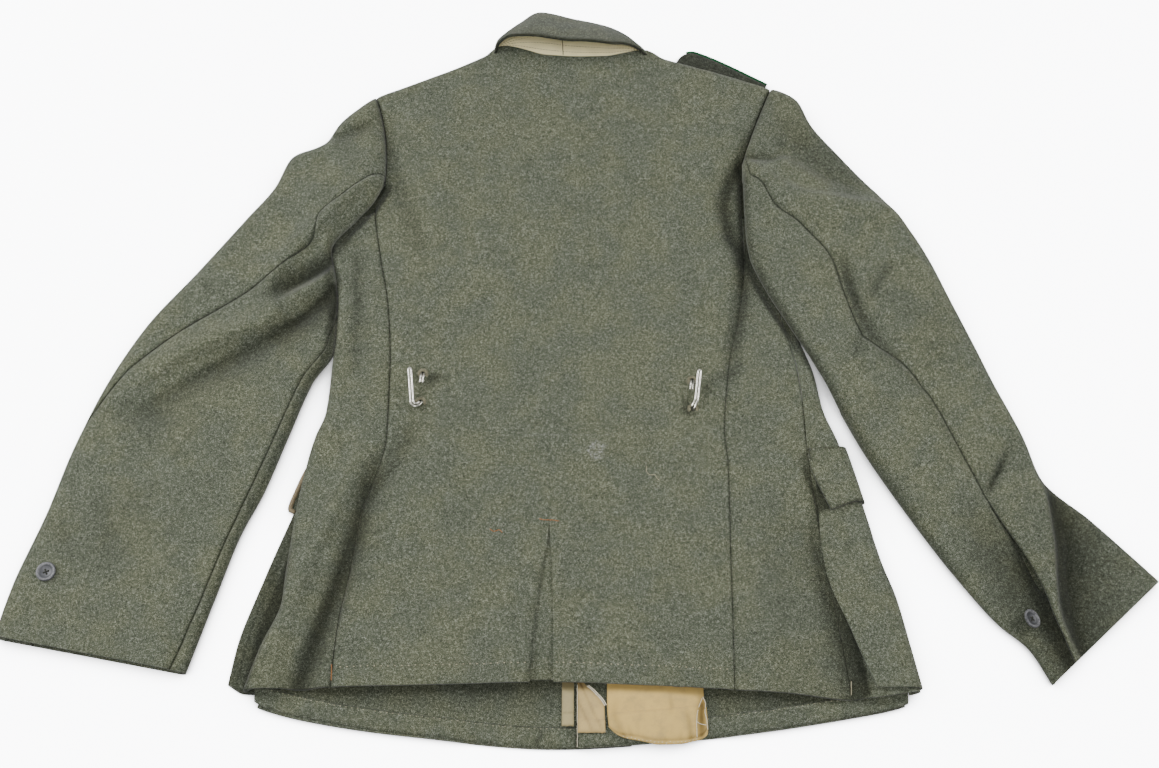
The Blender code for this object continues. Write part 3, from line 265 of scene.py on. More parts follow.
def relief(folds: Reliefs, x: float, y: float) -> float:
    """Add up what the folds raise or lower the cloth by at a point."""
    return sum(fold.at(x, y) for fold in folds)


def unevenness(x: float, y: float, seed: float, size: float = 1.0) -> float:
    """Give the small waves of thick cloth that has been worn, in millimetres."""
    broad = ripple(x / 46.0, y / 60.0, seed)
    small = ripple(x / 15.0, y / 19.0, seed + 7.0)
    return size * (0.75 * broad + 0.26 * small)


def seam_dip(distance: float, depth: float = 1.0) -> float:
    """Give how far a sewn edge draws the cloth down at a distance from the seam."""
    return -depth * (1.5 * bell(distance, 1.9) + 0.7 * bell(distance, 7.0))


# ---- shader maths

class Wire:
    """A socket of a node tree that takes Python's operators."""

    def __init__(self, maker: "NodeMaker", socket: bpy.types.NodeSocket) -> None:
        """Keep the socket and the maker of further nodes."""
        self.maker = maker
        self.socket = socket

    def _math(self, operation: str, *values: "Wire | float") -> "Wire":
        """Add a Math node."""
        return self.maker.node("ShaderNodeMath", {"operation": operation}, dict(enumerate(values)))

    def __add__(self, other: "Wire | float") -> "Wire":
        """Add."""
        return self._math("ADD", self, other)

    def __sub__(self, other: "Wire | float") -> "Wire":
        """Subtract."""
        return self._math("SUBTRACT", self, other)

    def __rsub__(self, other: float) -> "Wire":
        """Subtract from a number."""
        return self._math("SUBTRACT", other, self)

    def __mul__(self, other: "Wire | float") -> "Wire":
        """Multiply."""
        return self._math("MULTIPLY", self, other)

    __radd__ = __add__
    __rmul__ = __mul__

    def power(self, exponent: float) -> "Wire":
        """Raise to a power."""
        return self._math("POWER", self, exponent)

    def absolute(self) -> "Wire":
        """Drop the sign."""
        return self._math("ABSOLUTE", self)

    def larger(self, other: "Wire | float") -> "Wire":
        """Take the larger value."""
        return self._math("MAXIMUM", self, other)

    def sine(self) -> "Wire":
        """Take the sine."""
        return self._math("SINE", self)

    def between(self, low: float, high: float) -> "Wire":
        """Rise smoothly from 0 at low to 1 at high."""
        settings = {"interpolation_type": "SMOOTHSTEP"}
        return self.maker.node("ShaderNodeMapRange", settings,
                               {"Value": self, "From Min": low, "From Max": high})


class NodeMaker:
    """Makes the nodes of one material."""

    def __init__(self, name: str) -> None:
        """Start a material."""
        self.material = bpy.data.materials.new(name)
        self.material.use_nodes = True
        self.tree = self.material.node_tree
        self.shader = self.tree.nodes["Principled BSDF"]
        coordinates = self.tree.nodes.new("ShaderNodeTexCoord")
        self.place = Wire(self, coordinates.outputs["Object"])

    def node(self, kind: str, settings: dict[str, object],
             inputs: dict[str | int, object], output: int = 0) -> Wire:
        """Add a node of any type.

        Args:
            kind: the node's type.
            settings: what is set on the node; stops is a ramp's list of places and colours.
            inputs: the values or wires of its sockets, by name or number.
            output: the number of the socket that is given back.

        Returns:
            The node's output.
        """
        made = self.tree.nodes.new(kind)
        for key, value in settings.items():
            if key == "stops":
                ramp = made.color_ramp
                while len(ramp.elements) < len(value):
                    ramp.elements.new(0.5)
                for element, (where, colour) in zip(ramp.elements, value):
                    element.position = where
                    element.color = (*colour, 1.0)
            else:
                setattr(made, key, value)
        for key, value in inputs.items():
            if isinstance(value, Wire):
                self.tree.links.new(value.socket, made.inputs[key])
            else:
                made.inputs[key].default_value = value
        return Wire(self, made.outputs[output])

    def noise(self, scale: float, detail: float = 3.0, rough: float = 0.55,
              where: Wire | None = None) -> Wire:
        """Add noise, with its scale in cells to the metre."""
        return self.node("ShaderNodeTexNoise", {}, {
            "Vector": where or self.place, "Scale": scale, "Detail": detail, "Roughness": rough})

    def ramp(self, value: Wire, stops: Sequence[tuple[float, Triple]]) -> Wire:
        """Turn a value into a colour."""
        return self.node("ShaderNodeValToRGB", {"stops": stops}, {"Fac": value})

    def colour_mix(self, factor: Wire | float, first: object, second: object,
                   blend: str = "MIX") -> Wire:
        """Mix two colours."""
        made = self.tree.nodes.new("ShaderNodeMix")
        made.data_type = "RGBA"
        made.blend_type = blend
        for socket, value in ((made.inputs[0], factor), (made.inputs[6], first), (made.inputs[7], second)):
            if isinstance(value, Wire):
                self.tree.links.new(value.socket, socket)
            else:
                socket.default_value = (*value, 1.0) if isinstance(value, tuple) else value
        return Wire(self, made.outputs[2])

    def hollows(self, colour: Wire, deepest: Triple) -> Wire:
        """Darken a colour towards a share of itself by the mesh's shade attribute: painted shade in creases, along
        seams and under other parts.
        """
        cavity = self.node("ShaderNodeAttribute", {"attribute_name": "cavity"}, {}, 2)
        return self.colour_mix(cavity, colour, self.colour_mix(1.0, colour, deepest, "MULTIPLY"))

    def axis(self, number: int) -> Wire:
        """Give one coordinate of the place on the object, in metres."""
        return self.node("ShaderNodeSeparateXYZ", {}, {"Vector": self.place}, number)

    def distance_to(self, centre: Vector) -> Wire:
        """Give the distance in plan from a point, in metres."""
        flat = self.node("ShaderNodeVectorMath", {"operation": "MULTIPLY"},
                         {0: self.place, 1: (1.0, 1.0, 0.0)})
        return self.node("ShaderNodeVectorMath", {"operation": "DISTANCE"},
                         {0: flat, 1: (centre.x, centre.y, 0.0)}, 1)

    def bump(self, height: Wire, strength: float, depth: float, under: Wire | None = None) -> Wire:
        """Add relief, over what is already there."""
        inputs: dict[str | int, object] = {"Height": height, "Strength": strength, "Distance": depth}
        if under:
            inputs["Normal"] = under
        return self.node("ShaderNodeBump", {}, inputs)

    def finish(self, colour: Wire | Triple, rough: Wire | float,
               normal: Wire | None = None, fixed: dict[str, float] | None = None) -> None:
        """Join colour, roughness and relief to the shader, and set what is the same all over."""
        for key, value in (("Base Color", colour), ("Roughness", rough), ("Normal", normal)):
            if isinstance(value, Wire):
                self.tree.links.new(value.socket, self.shader.inputs[key])
            elif value is not None:
                value = (*value, 1.0) if isinstance(value, tuple) else value
                self.shader.inputs[key].default_value = value
        for key, value in (fixed or {}).items():
            self.shader.inputs[key].default_value = value


# ---- finishes

@dataclass(frozen=True)
class Wool:
    """Milled wool of mixed olive, grey and pale fibres, worn and a little dusty."""

    name: str
    slot: str = "wool"
    tone: float = 0.62
    marked: bool = False

    def build(self) -> Material:
        """Make the material."""
        maker = NodeMaker(self.name)
        fibre = maker.noise(1150.0, 2.0, 0.7)
        fleck = maker.noise(2300.0, 1.0, 0.5)
        tuft = maker.noise(400.0, 3.0, 0.65)
        cloud = maker.noise(26.0, 3.0, 0.6)
        patch = maker.noise(95.0, 3.0, 0.65)
        blend = fibre * 0.47 + fleck * 0.21 + tuft * 0.32
        tone = self.tone
        colour = maker.ramp(blend, [
            (0.37, (0.027 * tone, 0.032 * tone, 0.021 * tone)),
            (0.47, (0.090 * tone, 0.101 * tone, 0.066 * tone)),
            (0.55, (0.156 * tone, 0.168 * tone, 0.117 * tone)),
            (0.65, (0.41 * tone, 0.425 * tone, 0.345 * tone))])
        olive = maker.colour_mix(cloud.between(0.38, 0.64), (0.96, 0.98, 1.0), (1.03, 1.02, 0.95))
        colour = maker.colour_mix(1.0, colour, olive, "MULTIPLY")
        worn = maker.ramp(patch * 0.6 + cloud * 0.4, [(0.36, (0.90, 0.90, 0.90)), (0.64, (1.10, 1.10, 1.10))])
        colour = maker.colour_mix(1.0, colour, worn, "MULTIPLY")
        if self.marked:
            colour = self.marks(maker, colour)
        # Painted shade: the colour is darkened in creases, along seams and under other parts, by the mesh's shade
        # attribute.
        colour = maker.hollows(colour, (0.16, 0.165, 0.15))
        maker.finish(colour, 0.96, maker.bump(fibre * 0.5 + tuft * 0.5, 0.55, 0.0007),
                     {"Specular IOR Level": 0.12, "Sheen Weight": 0.12, "Sheen Roughness": 0.5})
        return maker.material

    def marks(self, maker: NodeMaker, colour: Wire) -> Wire:
        """Lay the chalk line and the pale scuff of the back over its colour."""
        x, y = maker.axis(0), maker.axis(1)
        grain = maker.noise(900.0, 2.0)
        line_at = placed((0.0, -104.0, 0.0)).y
        line = 1.0 - ((y - line_at) + (maker.noise(20.0) - 0.5) * 0.0022).absolute().between(0.0003, 0.0013)
        ends = (x - placed((-64.0, 0.0, 0.0)).x).between(0.0, 0.02)
        ends = ends * (1.0 - (x - placed((22.0, 0.0, 0.0)).x).between(0.0, 0.03))
        chalk = line * ends * grain.between(0.42, 0.66) * 0.14
        centre = placed((15.0, -119.0, 0.0))
        away = maker.distance_to(centre) + (maker.noise(170.0, 4.0) - 0.5) * 0.020
        ring = 1.0 - (away - 0.0062).absolute().between(0.0004, 0.0042)
        spot = 1.0 - away.between(0.003, 0.0125)
        scuff = (ring * 0.75 + spot * 0.35) * maker.noise(520.0, 3.0, 0.7).between(0.42, 0.68)
        return maker.colour_mix((chalk + scuff * 0.75).larger(0.0), colour, (0.30, 0.30, 0.29))


@dataclass(frozen=True)
class Drill:
    """Worn tan cotton twill."""

    name: str
    colour: Triple = (0.47, 0.345, 0.145)
    slot: str = "cotton_drill"
    soil: float = 0.35

    def build(self) -> Material:
        """Make the material."""
        maker = NodeMaker(self.name)
        x, y = maker.axis(0), maker.axis(1)
        ribs = ((x + y * 0.9) * (2.0 * math.pi / 0.0011)).sine() * 0.5 + 0.5
        thread = maker.noise(1500.0, 2.0)
        dirt = maker.noise(60.0, 4.0, 0.65).between(0.42, 0.72) * self.soil
        pale = tuple(min(1.0, 1.14 * part) for part in self.colour)
        dark = tuple(0.80 * part for part in self.colour)
        colour = maker.colour_mix(ribs * 0.45 + thread * 0.5, dark, pale)
        colour = maker.colour_mix(dirt, colour, (0.20, 0.16, 0.10))
        # Painted shade: the colour is darkened in creases, along seams and under other parts, by the mesh's shade
        # attribute.
        colour = maker.hollows(colour, (0.16, 0.14, 0.11))
        maker.finish(colour, 0.92, maker.bump(ribs * 0.7 + thread * 0.3, 0.35, 0.0003),
                     {"Specular IOR Level": 0.15, "Sheen Weight": 0.08})
        return maker.material


@dataclass(frozen=True)
class Thread:
    """Sewing thread, or yarn of one colour."""

    name: str
    colour: Triple
    slot: str = "wool"

    def build(self) -> Material:
        """Make the material."""
        maker = NodeMaker(self.name)
        ply = maker.noise(1400.0, 2.0)
        dark = tuple(0.6 * part for part in self.colour)
        colour = maker.colour_mix(ply.between(0.3, 0.7), dark, self.colour)
        maker.finish(colour, 0.8, maker.bump(ply, 0.4, 0.0002), {"Specular IOR Level": 0.2})
        return maker.material


@dataclass(frozen=True)
class Metal:
    """Wire or plate with patches of tarnish."""

    name: str
    slot: str
    bright: Triple
    tarnish: Triple
    rough: float = 0.3
    amount: float = 0.5

    def build(self) -> Material:
        """Make the material."""
        maker = NodeMaker(self.name)
        stain = maker.noise(420.0, 4.0, 0.7).between(0.45, 0.72) * self.amount
        grain = maker.noise(2600.0, 2.0)
        colour = maker.colour_mix(stain, self.bright, self.tarnish)
        rough = stain * 0.35 + grain * 0.12 + (self.rough - 0.06)
        maker.finish(colour, rough, maker.bump(grain, 0.15, 0.0001), {"Metallic": 1.0})
        return maker.material


@dataclass(frozen=True)
class ButtonPaint:
    """Grey paint on a pressed button, rubbed pale on its rim."""

    name: str
    centre: Triple
    base: Triple = (0.05, 0.052, 0.057)
    slot: str = "grey_button"

    def build(self) -> Material:
        """Make the material."""
        maker = NodeMaker(self.name)
        away = maker.distance_to(placed(self.centre))
        rim = away.between(0.0055, 0.0068) * (1.0 - away.between(0.0082, 0.0092))
        rub = rim * maker.noise(700.0, 3.0).between(0.30, 0.58) * 0.45
        grime = maker.noise(350.0, 3.0).between(0.4, 0.7)
        colour = maker.colour_mix(grime, self.base, tuple(0.75 * part for part in self.base))
        colour = maker.colour_mix(rub, colour, (0.22, 0.22, 0.225))
        maker.finish(colour, 0.5 - rub * 0.15, maker.bump(maker.noise(1900.0), 0.2, 0.0002))
        return maker.material


@dataclass(frozen=True)
class Board:
    """The smooth white surface under the garment, which glows evenly, with a painted shadow where the garment is
    near.
    """

    name: str = "white_surface"
    glow: float = 8.5
    reach: float = 0.03

    def build(self) -> Material:
        """Make the material."""
        maker = NodeMaker(self.name)
        maker.finish((0.93, 0.93, 0.94), 0.75)
        # Painted shadow: the glow fades to dark where ambient occlusion finds the garment close, in gaps and along
        # its edges.
        near = maker.node("ShaderNodeAmbientOcclusion", {"samples": 8}, {"Distance": self.reach}, 1)
        glow = maker.colour_mix(near.between(0.35, 0.95), (0.01, 0.01, 0.01), (0.97, 0.98, 1.0))
        maker.tree.links.new(glow.socket, maker.shader.inputs["Emission Color"])
        maker.shader.inputs["Emission Strength"].default_value = self.glow
        return maker.material


class Cloth(Enum):
    """The finishes that pieces share."""

    WOOL = Wool("tunic_wool")
    BACK = Wool("tunic_back_wool", marked=True)
    # A slightly darker copy of the wool for insides and undersides: painted shade.
    SHADED = Wool("tunic_inside_wool", tone=0.6)
    FALL = Wool("collar_wool", tone=0.55)
    DARK = Wool("strap_wool", slot="dark_wool", tone=0.22)
    TAN = Drill("facing_drill")
    # The stand's tan drill colour is raised well above the drill's own: painted light that makes up for the shade
    # the fall casts on the stand.
    COLLAR = Drill("collar_drill", (0.93, 0.80, 0.45), soil=0.12)
    POUCH = Drill("pouch_cotton", (0.55, 0.385, 0.125), soil=0.35)
    PIPING = Thread("green_cord", (0.012, 0.085, 0.03), "green_piping")
    PALE = Thread("pale_thread", (0.36, 0.33, 0.22))
    RUST = Thread("rust_thread", (0.30, 0.13, 0.045))
    DUSK = Thread("dark_thread", (0.03, 0.032, 0.024))
    WHITE = Thread("white_thread", (0.66, 0.61, 0.47))
    BINDING = Thread("worn_binding", (0.24, 0.195, 0.12))
    STAND = Thread("stand_thread", (0.20, 0.14, 0.065), "cotton_drill")
    RIM = Thread("eyelet_thread", (0.215, 0.205, 0.135), "brass")
    WORN_TAN = Drill("worn_facing_drill", (0.34, 0.29, 0.15), soil=0.4)
    NICKEL = Metal("nickel_wire_finish", "nickel_wire", (0.66, 0.645, 0.58), (0.24, 0.21, 0.16), 0.28, 0.6)


@lru_cache(None)
def material_of(finish: "Finish") -> Material:
    """Make the material of a finish once."""
    return finish.build()


# ---- making pieces

@dataclass
class Patch:
    """One grid of a piece: the shares of its columns and rows, and the surface they lie on."""

    columns: list[float]
    rows: list[float]
    surface: Surface
    kept: Callable[[int, int], bool] | None = None
    ply: Shading | None = None
    # shade gives painted shade in creases; seamed and rimmed paint a dark line along the edge columns and rows.
    shade: Shading | None = None
    seamed: float = 0.0
    rimmed: float = 0.0

    def darkness(self, column: int, row: int) -> float:
        """Give how dark the cloth is painted at a point: painted shade in its creases, and a dark line along its
        edges.
        """
        dark = self.shade(self.columns[column], self.rows[row]) if self.shade else 0.0
        for strength, at, count in ((self.seamed, column, len(self.columns)), (self.rimmed, row, len(self.rows))):
            beside = min(at, count - 1 - at)
            dark = max(dark, strength * (1.0, 0.65, 0.2)[beside] if beside < 3 else 0.0)
        return dark


def patch_mesh(shape: Shape, patch: Patch, group: int) -> None:
    """Add a patch to a mesh: a grid whose points are moved onto the surface.

    Args:
        shape: the mesh that is added to.
        patch: the grid's columns, rows and surface.
        group: the vertex group that holds the wall's thickness.
    """
    wide, high = len(patch.columns) - 1, len(patch.rows) - 1
    layer = shape.verts.layers.deform.verify()
    # Each vertex keeps how dark it is painted: painted shade, which the materials darken their colour by.
    cavity = shape.verts.layers.float.get("cavity") or shape.verts.layers.float.new("cavity")
    layer = shape.verts.layers.deform.verify()
    made = bmesh.ops.create_grid(shape, x_segments=wide, y_segments=high, size=1.0)["verts"]
    places = {}
    for vert in made:
        column = round((vert.co.x + 1.0) * 0.5 * wide)
        row = round((vert.co.y + 1.0) * 0.5 * high)
        places[vert] = (column, row)
    for vert, (column, row) in places.items():
        across, along = patch.columns[column], patch.rows[row]
        vert.co = placed(patch.surface(across, along))
        vert[layer][group] = patch.ply(across, along) if patch.ply else 0.55
        vert[cavity] = patch.darkness(column, row)
    if patch.kept:
        faces = {face for vert in made for face in vert.link_faces}
        cut = [face for face in faces
               if not patch.kept(min(places[v][0] for v in face.verts), min(places[v][1] for v in face.verts))]
        bmesh.ops.delete(shape, geom=cut, context="FACES")


def add_piece(name: str, shape: Shape, finish: object, nodes: Sequence[str] = (),
              smooth: float = 45.0) -> Piece:
    """Turn a mesh into a piece that rides with the garment.

    Args:
        name: the piece's name.
        shape: its mesh, in the frame's metres.
        finish: its finish.
        nodes: the solids that it stands for.
        smooth: the angle in degrees past which an edge stays sharp.

    Returns:
        The new object.
    """
    mesh = bpy.data.meshes.new(name)
    shape.to_mesh(mesh)
    shape.free()
    finish = finish.value if isinstance(finish, Cloth) else finish
    mesh.materials.append(material_of(finish))
    mesh.shade_smooth()
    mesh.set_sharp_from_angle(angle=math.radians(smooth))
    piece = bpy.data.objects.new(name, mesh)
    bpy.context.scene.collection.objects.link(piece)
    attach(piece, "root")
    if nodes:
        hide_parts(*nodes)
    return piece


@dataclass
class Panel:
    """A cut piece of cloth: patches on its outer face, with a wall inside them."""

    name: str
    patches: list[Patch]
    finish: object
    nodes: tuple[str, ...] = ()
    wall: float = 4.4
    facing: float = 1.0
    rounding: float = 0.8
    merge: float = 0.02

    def build(self) -> Piece:
        """Make the panel.

        Returns:
            The piece, with its wall and rounded edges as live modifiers.
        """
        shape = bmesh.new()
        for patch in self.patches:
            patch_mesh(shape, patch, 0)
        bmesh.ops.remove_doubles(shape, verts=shape.verts[:], dist=self.merge * METRE)
        if self.facing < 0.0:
            bmesh.ops.reverse_faces(shape, faces=shape.faces[:])
        piece = add_piece(self.name, shape, self.finish, self.nodes)
        piece.vertex_groups.new(name="ply")
        wall = piece.modifiers.new("wall", "SOLIDIFY")
        wall.thickness = self.wall * METRE
        wall.offset = -1.0
        wall.vertex_group = "ply"
        edge = piece.modifiers.new("edge", "BEVEL")
        edge.width = self.rounding * METRE
        edge.segments = 2
        edge.limit_method = "ANGLE"
        edge.angle_limit = math.radians(60.0)
        edge.use_clamp_overlap = True
        return piece


def stitches(name: str, path: Sequence[tuple[Vector, Vector]], finish: object, pitch: float = 4.2,
             length: float = 2.4, radius: float = 0.42, rise: float = 0.1, wander: float = 0.25) -> Piece:
    """Sew a row of stitches along a path.

    Args:
        name: the piece's name.
        path: points in plan millimetres, each with the cloth's normal.
        finish: the thread.
        pitch: the distance from one stitch to the next.
        length: the length of a stitch.
        radius: the thread's radius.
        rise: how far the thread's middle lies above the cloth.
        wander: how far a stitch may stray to the side.

    Returns:
        The piece.
    """
    shape = bmesh.new()
    left_over = 0.0
    count = 0
    for (start, normal), (end, _) in zip(path, path[1:]):
        run = (end - start).length
        if run < 1e-6:
            continue
        forward = (end - start) / run
        while left_over < run:
            count += 1
            stray = ripple(count * 1.7, start.x * 0.1, 3.0)
            side = forward.cross(normal).normalized()
            centre = start + forward * left_over + normal * rise + side * (stray * wander)
            frame = Matrix((forward, side, normal)).transposed().to_4x4()
            size = Matrix.Diagonal((length * 0.5 * (1.0 + 0.2 * stray), radius, radius * 0.8, 1.0))
            turn = Matrix.Rotation(stray * 0.25, 4, "Z")
            matrix = Matrix.Translation(placed(centre)) @ frame @ turn @ size
            matrix = matrix @ Matrix.Diagonal((METRE, METRE, METRE, 1.0))
            bmesh.ops.create_icosphere(shape, subdivisions=1, radius=1.0, matrix=matrix)
            left_over += pitch
        left_over -= run
    return add_piece(name, shape, finish, (), 180.0)


def cord_mesh(shape: Shape, path: Sequence[Vector], radius: float, sides: int = 8) -> None:
    """Sweep a round thread or wire along a path, with closed round ends.

    Args:
        shape: the mesh that is added to.
        path: points in plan millimetres.
        radius: the radius.
        sides: the faces round it.
    """
    points = [Vector(point) for point in path]
    rings = []
    side = Vector((1.0, 0.0, 0.0))
    for index, point in enumerate(points):
        ahead = points[min(index + 1, len(points) - 1)]
        behind = points[max(index - 1, 0)]
        forward = (ahead - behind).normalized()
        side = (side - forward * side.dot(forward)).normalized()
        if side.length < 0.5:
            side = forward.orthogonal().normalized()
        matrix = Matrix((side, forward.cross(side), forward)).transposed().to_4x4()
        matrix = Matrix.Translation(placed(point)) @ matrix
        made = bmesh.ops.create_circle(shape, segments=sides, radius=radius * METRE, matrix=matrix)["verts"]
        rings.append(made)
    for ring, following in zip(rings, rings[1:]):
        edges = {edge for vert in ring + following for edge in vert.link_edges
                 if all(v in ring for v in edge.verts) or all(v in following for v in edge.verts)}
        bmesh.ops.bridge_loops(shape, edges=list(edges))
    for ring in (rings[0], rings[-1]):
        face = bmesh.ops.contextual_create(shape, geom=ring)["faces"]
        centre = sum((vert.co for vert in ring), Vector()) / len(ring)
        out = points[0] - points[1] if ring is rings[0] else points[-1] - points[-2]
        tip = bmesh.ops.poke(shape, faces=face)["verts"]
        for vert in tip:
            vert.co = centre + out.normalized() * radius * 0.6 * METRE


def cord(name: str, path: Sequence[Vector], radius: float, finish: object, nodes: Sequence[str] = (),
         sides: int = 8) -> Piece:
    """Make a piece of one thread or wire."""
    shape = bmesh.new()
    cord_mesh(shape, path, radius, sides)
    bmesh.ops.recalc_face_normals(shape, faces=shape.faces[:])
    return add_piece(name, shape, finish, nodes, 60.0)


def rounded_path(points: Sequence[Vector], steps: int = 6) -> list[Vector]:
    """Give a smooth path through a few points."""
    places = list(range(len(points)))
    curves = [Curve(places, [point[axis] for point in points]) for axis in range(3)]
    count = steps * (len(points) - 1)
    return [Vector([curve(at) for curve in curves]) for at in spread(0.0, len(points) - 1.0, count)]


# ---- the body's form

BODY_FINE = reliefs("""
-98 14 -103 -60 -.9 2.2 2.2 |
-103 -60 -116 -136 -.9 2.2 2.2 |
64 18 64.5 -132 -.9 2.2 2.2 |
-150 -230 -140 -330 1 14 18 |
60 -220 80 -335 .9 16 18 |
-197 266 0, -191 215 -2, -178 160 -2.8, -160 115 -2.6, -146 82 -1.4, -138 64 0: 5 9 |
-118 -128 -1.5, -119 -140 -1.5, -121 -150 0: 4 4 |
64 -122 -1, 65 -134 -2, 66 -146 0: 4 4 |
76 -294 0, 84 -318 -1.5, 89 -344 -1.2: 3.5 4.5 |
40 57 0, 56 55 -1.2, 72 58 0: 4 5 |
98 -62 0, 106 -66 -1.5, 120 -60 0: 7 7 |
-158 -40 0, -146 -46 -1.8, -132 -48 0: 4 6 |
-40 330 -1, -36 318 -1, -50 296 0: 8 8 |
58 326 -1, 62 312 -1, 72 290 0: 8 8""")


BODY_FOLDS = reliefs("""
-110 300 -150 150 1.6 30 30 |
-40 170 60 60 -1.4 40 45 |
-27 -200 -27 -330 1.2 16 16 |
-182 -108 0, -190 -140 -4, -199 -175 -6, -207 -210 -8, -217 -250 -8, -229 -290 -8, -244 -340 -7: 12 8 |
-206 -125 0, -215 -155 4, -226 -185 7, -240 -215 9, -254 -248 9, -265 -280 8, -274 -312 8, -280 -345 6: 8 11 |
-222 118 0, -218 80 -3.5, -215 30 -4, -213 -20 -3, -211 -64 0: 6 6 |
-234 72 0, -233 20 2.2, -232 -30 1.8, -234 -66 0: 6 8 |
-150 -80 0, -159 -106 -2.5, -171 -132 -3.5, -188 -158 -3: 8 11 |
194 -112 0, 206 -150 -2.5, 212 -190 -5, 217 -230 -6, 224 -270 -6, 232 -310 -6, 241 -350 -5: 6 27 |
176 230 0, 165 203 -3, 153 174 -6, 147 148 -6.5, 150 118 -6, 160 90 -4: 9 9 |
164 84 -3, 160 60 -5, 155 30 -5, 149 0 -4, 144 -28 -2.5, 140 -56 0: 7 6""")


@dataclass
class BodyForm:
    """The outer form of the laid body: its edges in plan and its height at each place."""

    back_edges: Table = table(      # y, left, right
        "-350 -218 135.5, -285 -214.5 136.5, -230 -206.5 137, -178 -200 138, -135 -186.5 138.5, "
        "-104 -180.5 136.5, -36 -181 142.5, 30 -186 156, 90 -197 163.5, 147 -205 163, 167 -196.5 163.5")
    side_folds: Table = table(      # y, left, right, front seam
        "-354 -296 299.5 238, -310 -282 291 233, -265 -266 282 227, -230 -264.5 271 222, -178 -260.5 259 217, "
        "-133 -254 248 213, -105 -248 240 211.5, -80 -240 231 211, -40 -237.5 224 208, 0 -236.5 212 200, "
        "34 -236.5 206.5 195, 92 -246 204.5 192, 150 -248 204 190")
    under_arms: Table = table(      # y, left, right
        "125 -240 199, 133 -226 184, 141 -213 172, 150 -204.5 165.5, 167 -196.5 163.5")
    rises: Table = table(      # y, middle, side
        "-400 14.4 16, -320 14.4 16, -230 12.6 15.2, -100 9.4 14.5, 40 9.8 14, 150 12.5 14, 250 16 17, 340 16 18")
    vent: Table = table(      # y, left edge, right edge
        "-350 -44.5 -23, -290 -39.5 -23.5, -240 -34 -24.5, -190 -27.5 -27.5, 335 -12 -12")
    back_hem_line: Table = table(
        "-296 -349, -210 -345, -122 -343, -27 -340.5, 70 -344, 175 -350, 238 -356, 300 -349")
    front_hem_line: Table = table(
        "-293 -352, -276 -362, -209 -377.5, -139 -387, -17 -397.5, 105 -389, 240 -370, 289 -359, 299 -352")
    back_top_line: Table = table(
        "-211 276, -170 294, -128 313, -91 333.4, -84 337.4, -78 338.5, -68 337, -56 333.5, -36 327.4, -3 324.9, "
        "27 325.2, 48 329.3, 60 332.5, 70 332.4, 78 328.4, 102 319.5, 145 305.5, 198 285.5")
    front_top_line: Table = table(
        "-211 276, -170 294, -128 313, -91 332, -80 303, -60 268, -20 246, 30 246, 54 268, 68 303, 76 327.5, "
        "102 319.5, 145 305.5, 198 285.5")
    folds: Reliefs = BODY_FOLDS
    fine_folds: Reliefs = BODY_FINE
    wool: float = 2.4
    seam: float = 0.3
    fold_radius: float = 9.0
    pressed: float = 7.2
    vent_top: float = -190.0
    strap_start: Vector = field(default_factory=lambda: Vector((112.0, 333.0)))
    strap_end: Vector = field(default_factory=lambda: Vector((196.0, 297.0)))
    strap_width: float = 44.0
    strap_wall: float = 4.2
    shades: Reliefs = ()

    def __post_init__(self) -> None:
        """Turn the tables into curves."""
        self.back_left, self.back_right = curves(self.back_edges, 2)
        self.fold_left, self.fold_right, self.front_seam = curves(self.side_folds, 3)
        self.under_left, self.under_right = curves(self.under_arms, 2)
        self.rise_middle, self.rise_side = curves(self.rises, 2)
        self.vent_left, self.vent_cut = curves(self.vent, 2)
        self.back_hem, self.front_hem, self.back_top, self.front_top = (
            curves(line, 1)[0] for line in (self.back_hem_line, self.front_hem_line,
                                            self.back_top_line, self.front_top_line))
        self.left_edge = lru_cache(None)(self._left_edge)
        self.right_edge = lru_cache(None)(self._right_edge)
        self.cover = lru_cache(None)(self._cover)

    def join_sleeves(self, left: "SleeveForm", right: "SleeveForm") -> None:
        """Take the armholes and the inner edges from the sleeves."""
        self.left_sleeve, self.right_sleeve = left, right
        self.inner_left = Curve([row.inner_y for row in reversed(left.rows)],
                                [row.inner_x for row in reversed(left.rows)])
        self.inner_right = Curve([row.inner_y for row in reversed(right.rows)],
                                 [row.inner_x for row in reversed(right.rows)])

    def vent_right(self, y: float) -> float:
        """Give the x of the vent's right edge, or of the centre line above the vent."""
        return self.vent_cut(y) if y < self.vent_top else self.vent_left(y)

    def _left_edge(self, y: float) -> float:
        """Give the back's left edge: side-back seam, then armhole."""
        first = self.left_sleeve.rows[0]
        if y < first.inner_y:
            return self.back_left(y)
        return self.left_sleeve.armhole(min(y, first.outer_y)) + 0.5

    def _right_edge(self, y: float) -> float:
        """Give the back's right edge: side-back seam, then armhole."""
        first = self.right_sleeve.rows[0]
        if y < first.inner_y - 30.0:
            return self.back_right(y)
        if y < first.inner_y:
            return 163.2
        return max(163.2, self.right_sleeve.armhole(min(y, first.outer_y)) - 0.9)

    def _cover(self, y: float) -> tuple[float, float, float, float]:
        """Give the sleeves' inner edges, and how far they press the body down, along a row."""
        left = smoothstep((y - 84.0) / 14.0) * smoothstep((178.0 - y) / 20.0)
        right = smoothstep((y + 44.0) / 22.0) * smoothstep((205.0 - y) / 20.0)
        return self.inner_left(y), left, self.inner_right(y), right

    def pressing(self, x: float, y: float) -> float:
        """Give how far a sleeve presses the body down at a place, from 0 to 1."""
        inner_left, left, inner_right, right = self.cover(y)
        left *= smoothstep((inner_left - x + 12.0) / 12.0)
        right *= smoothstep((x - inner_right + 11.0) / 11.0)
        return max(left, right)

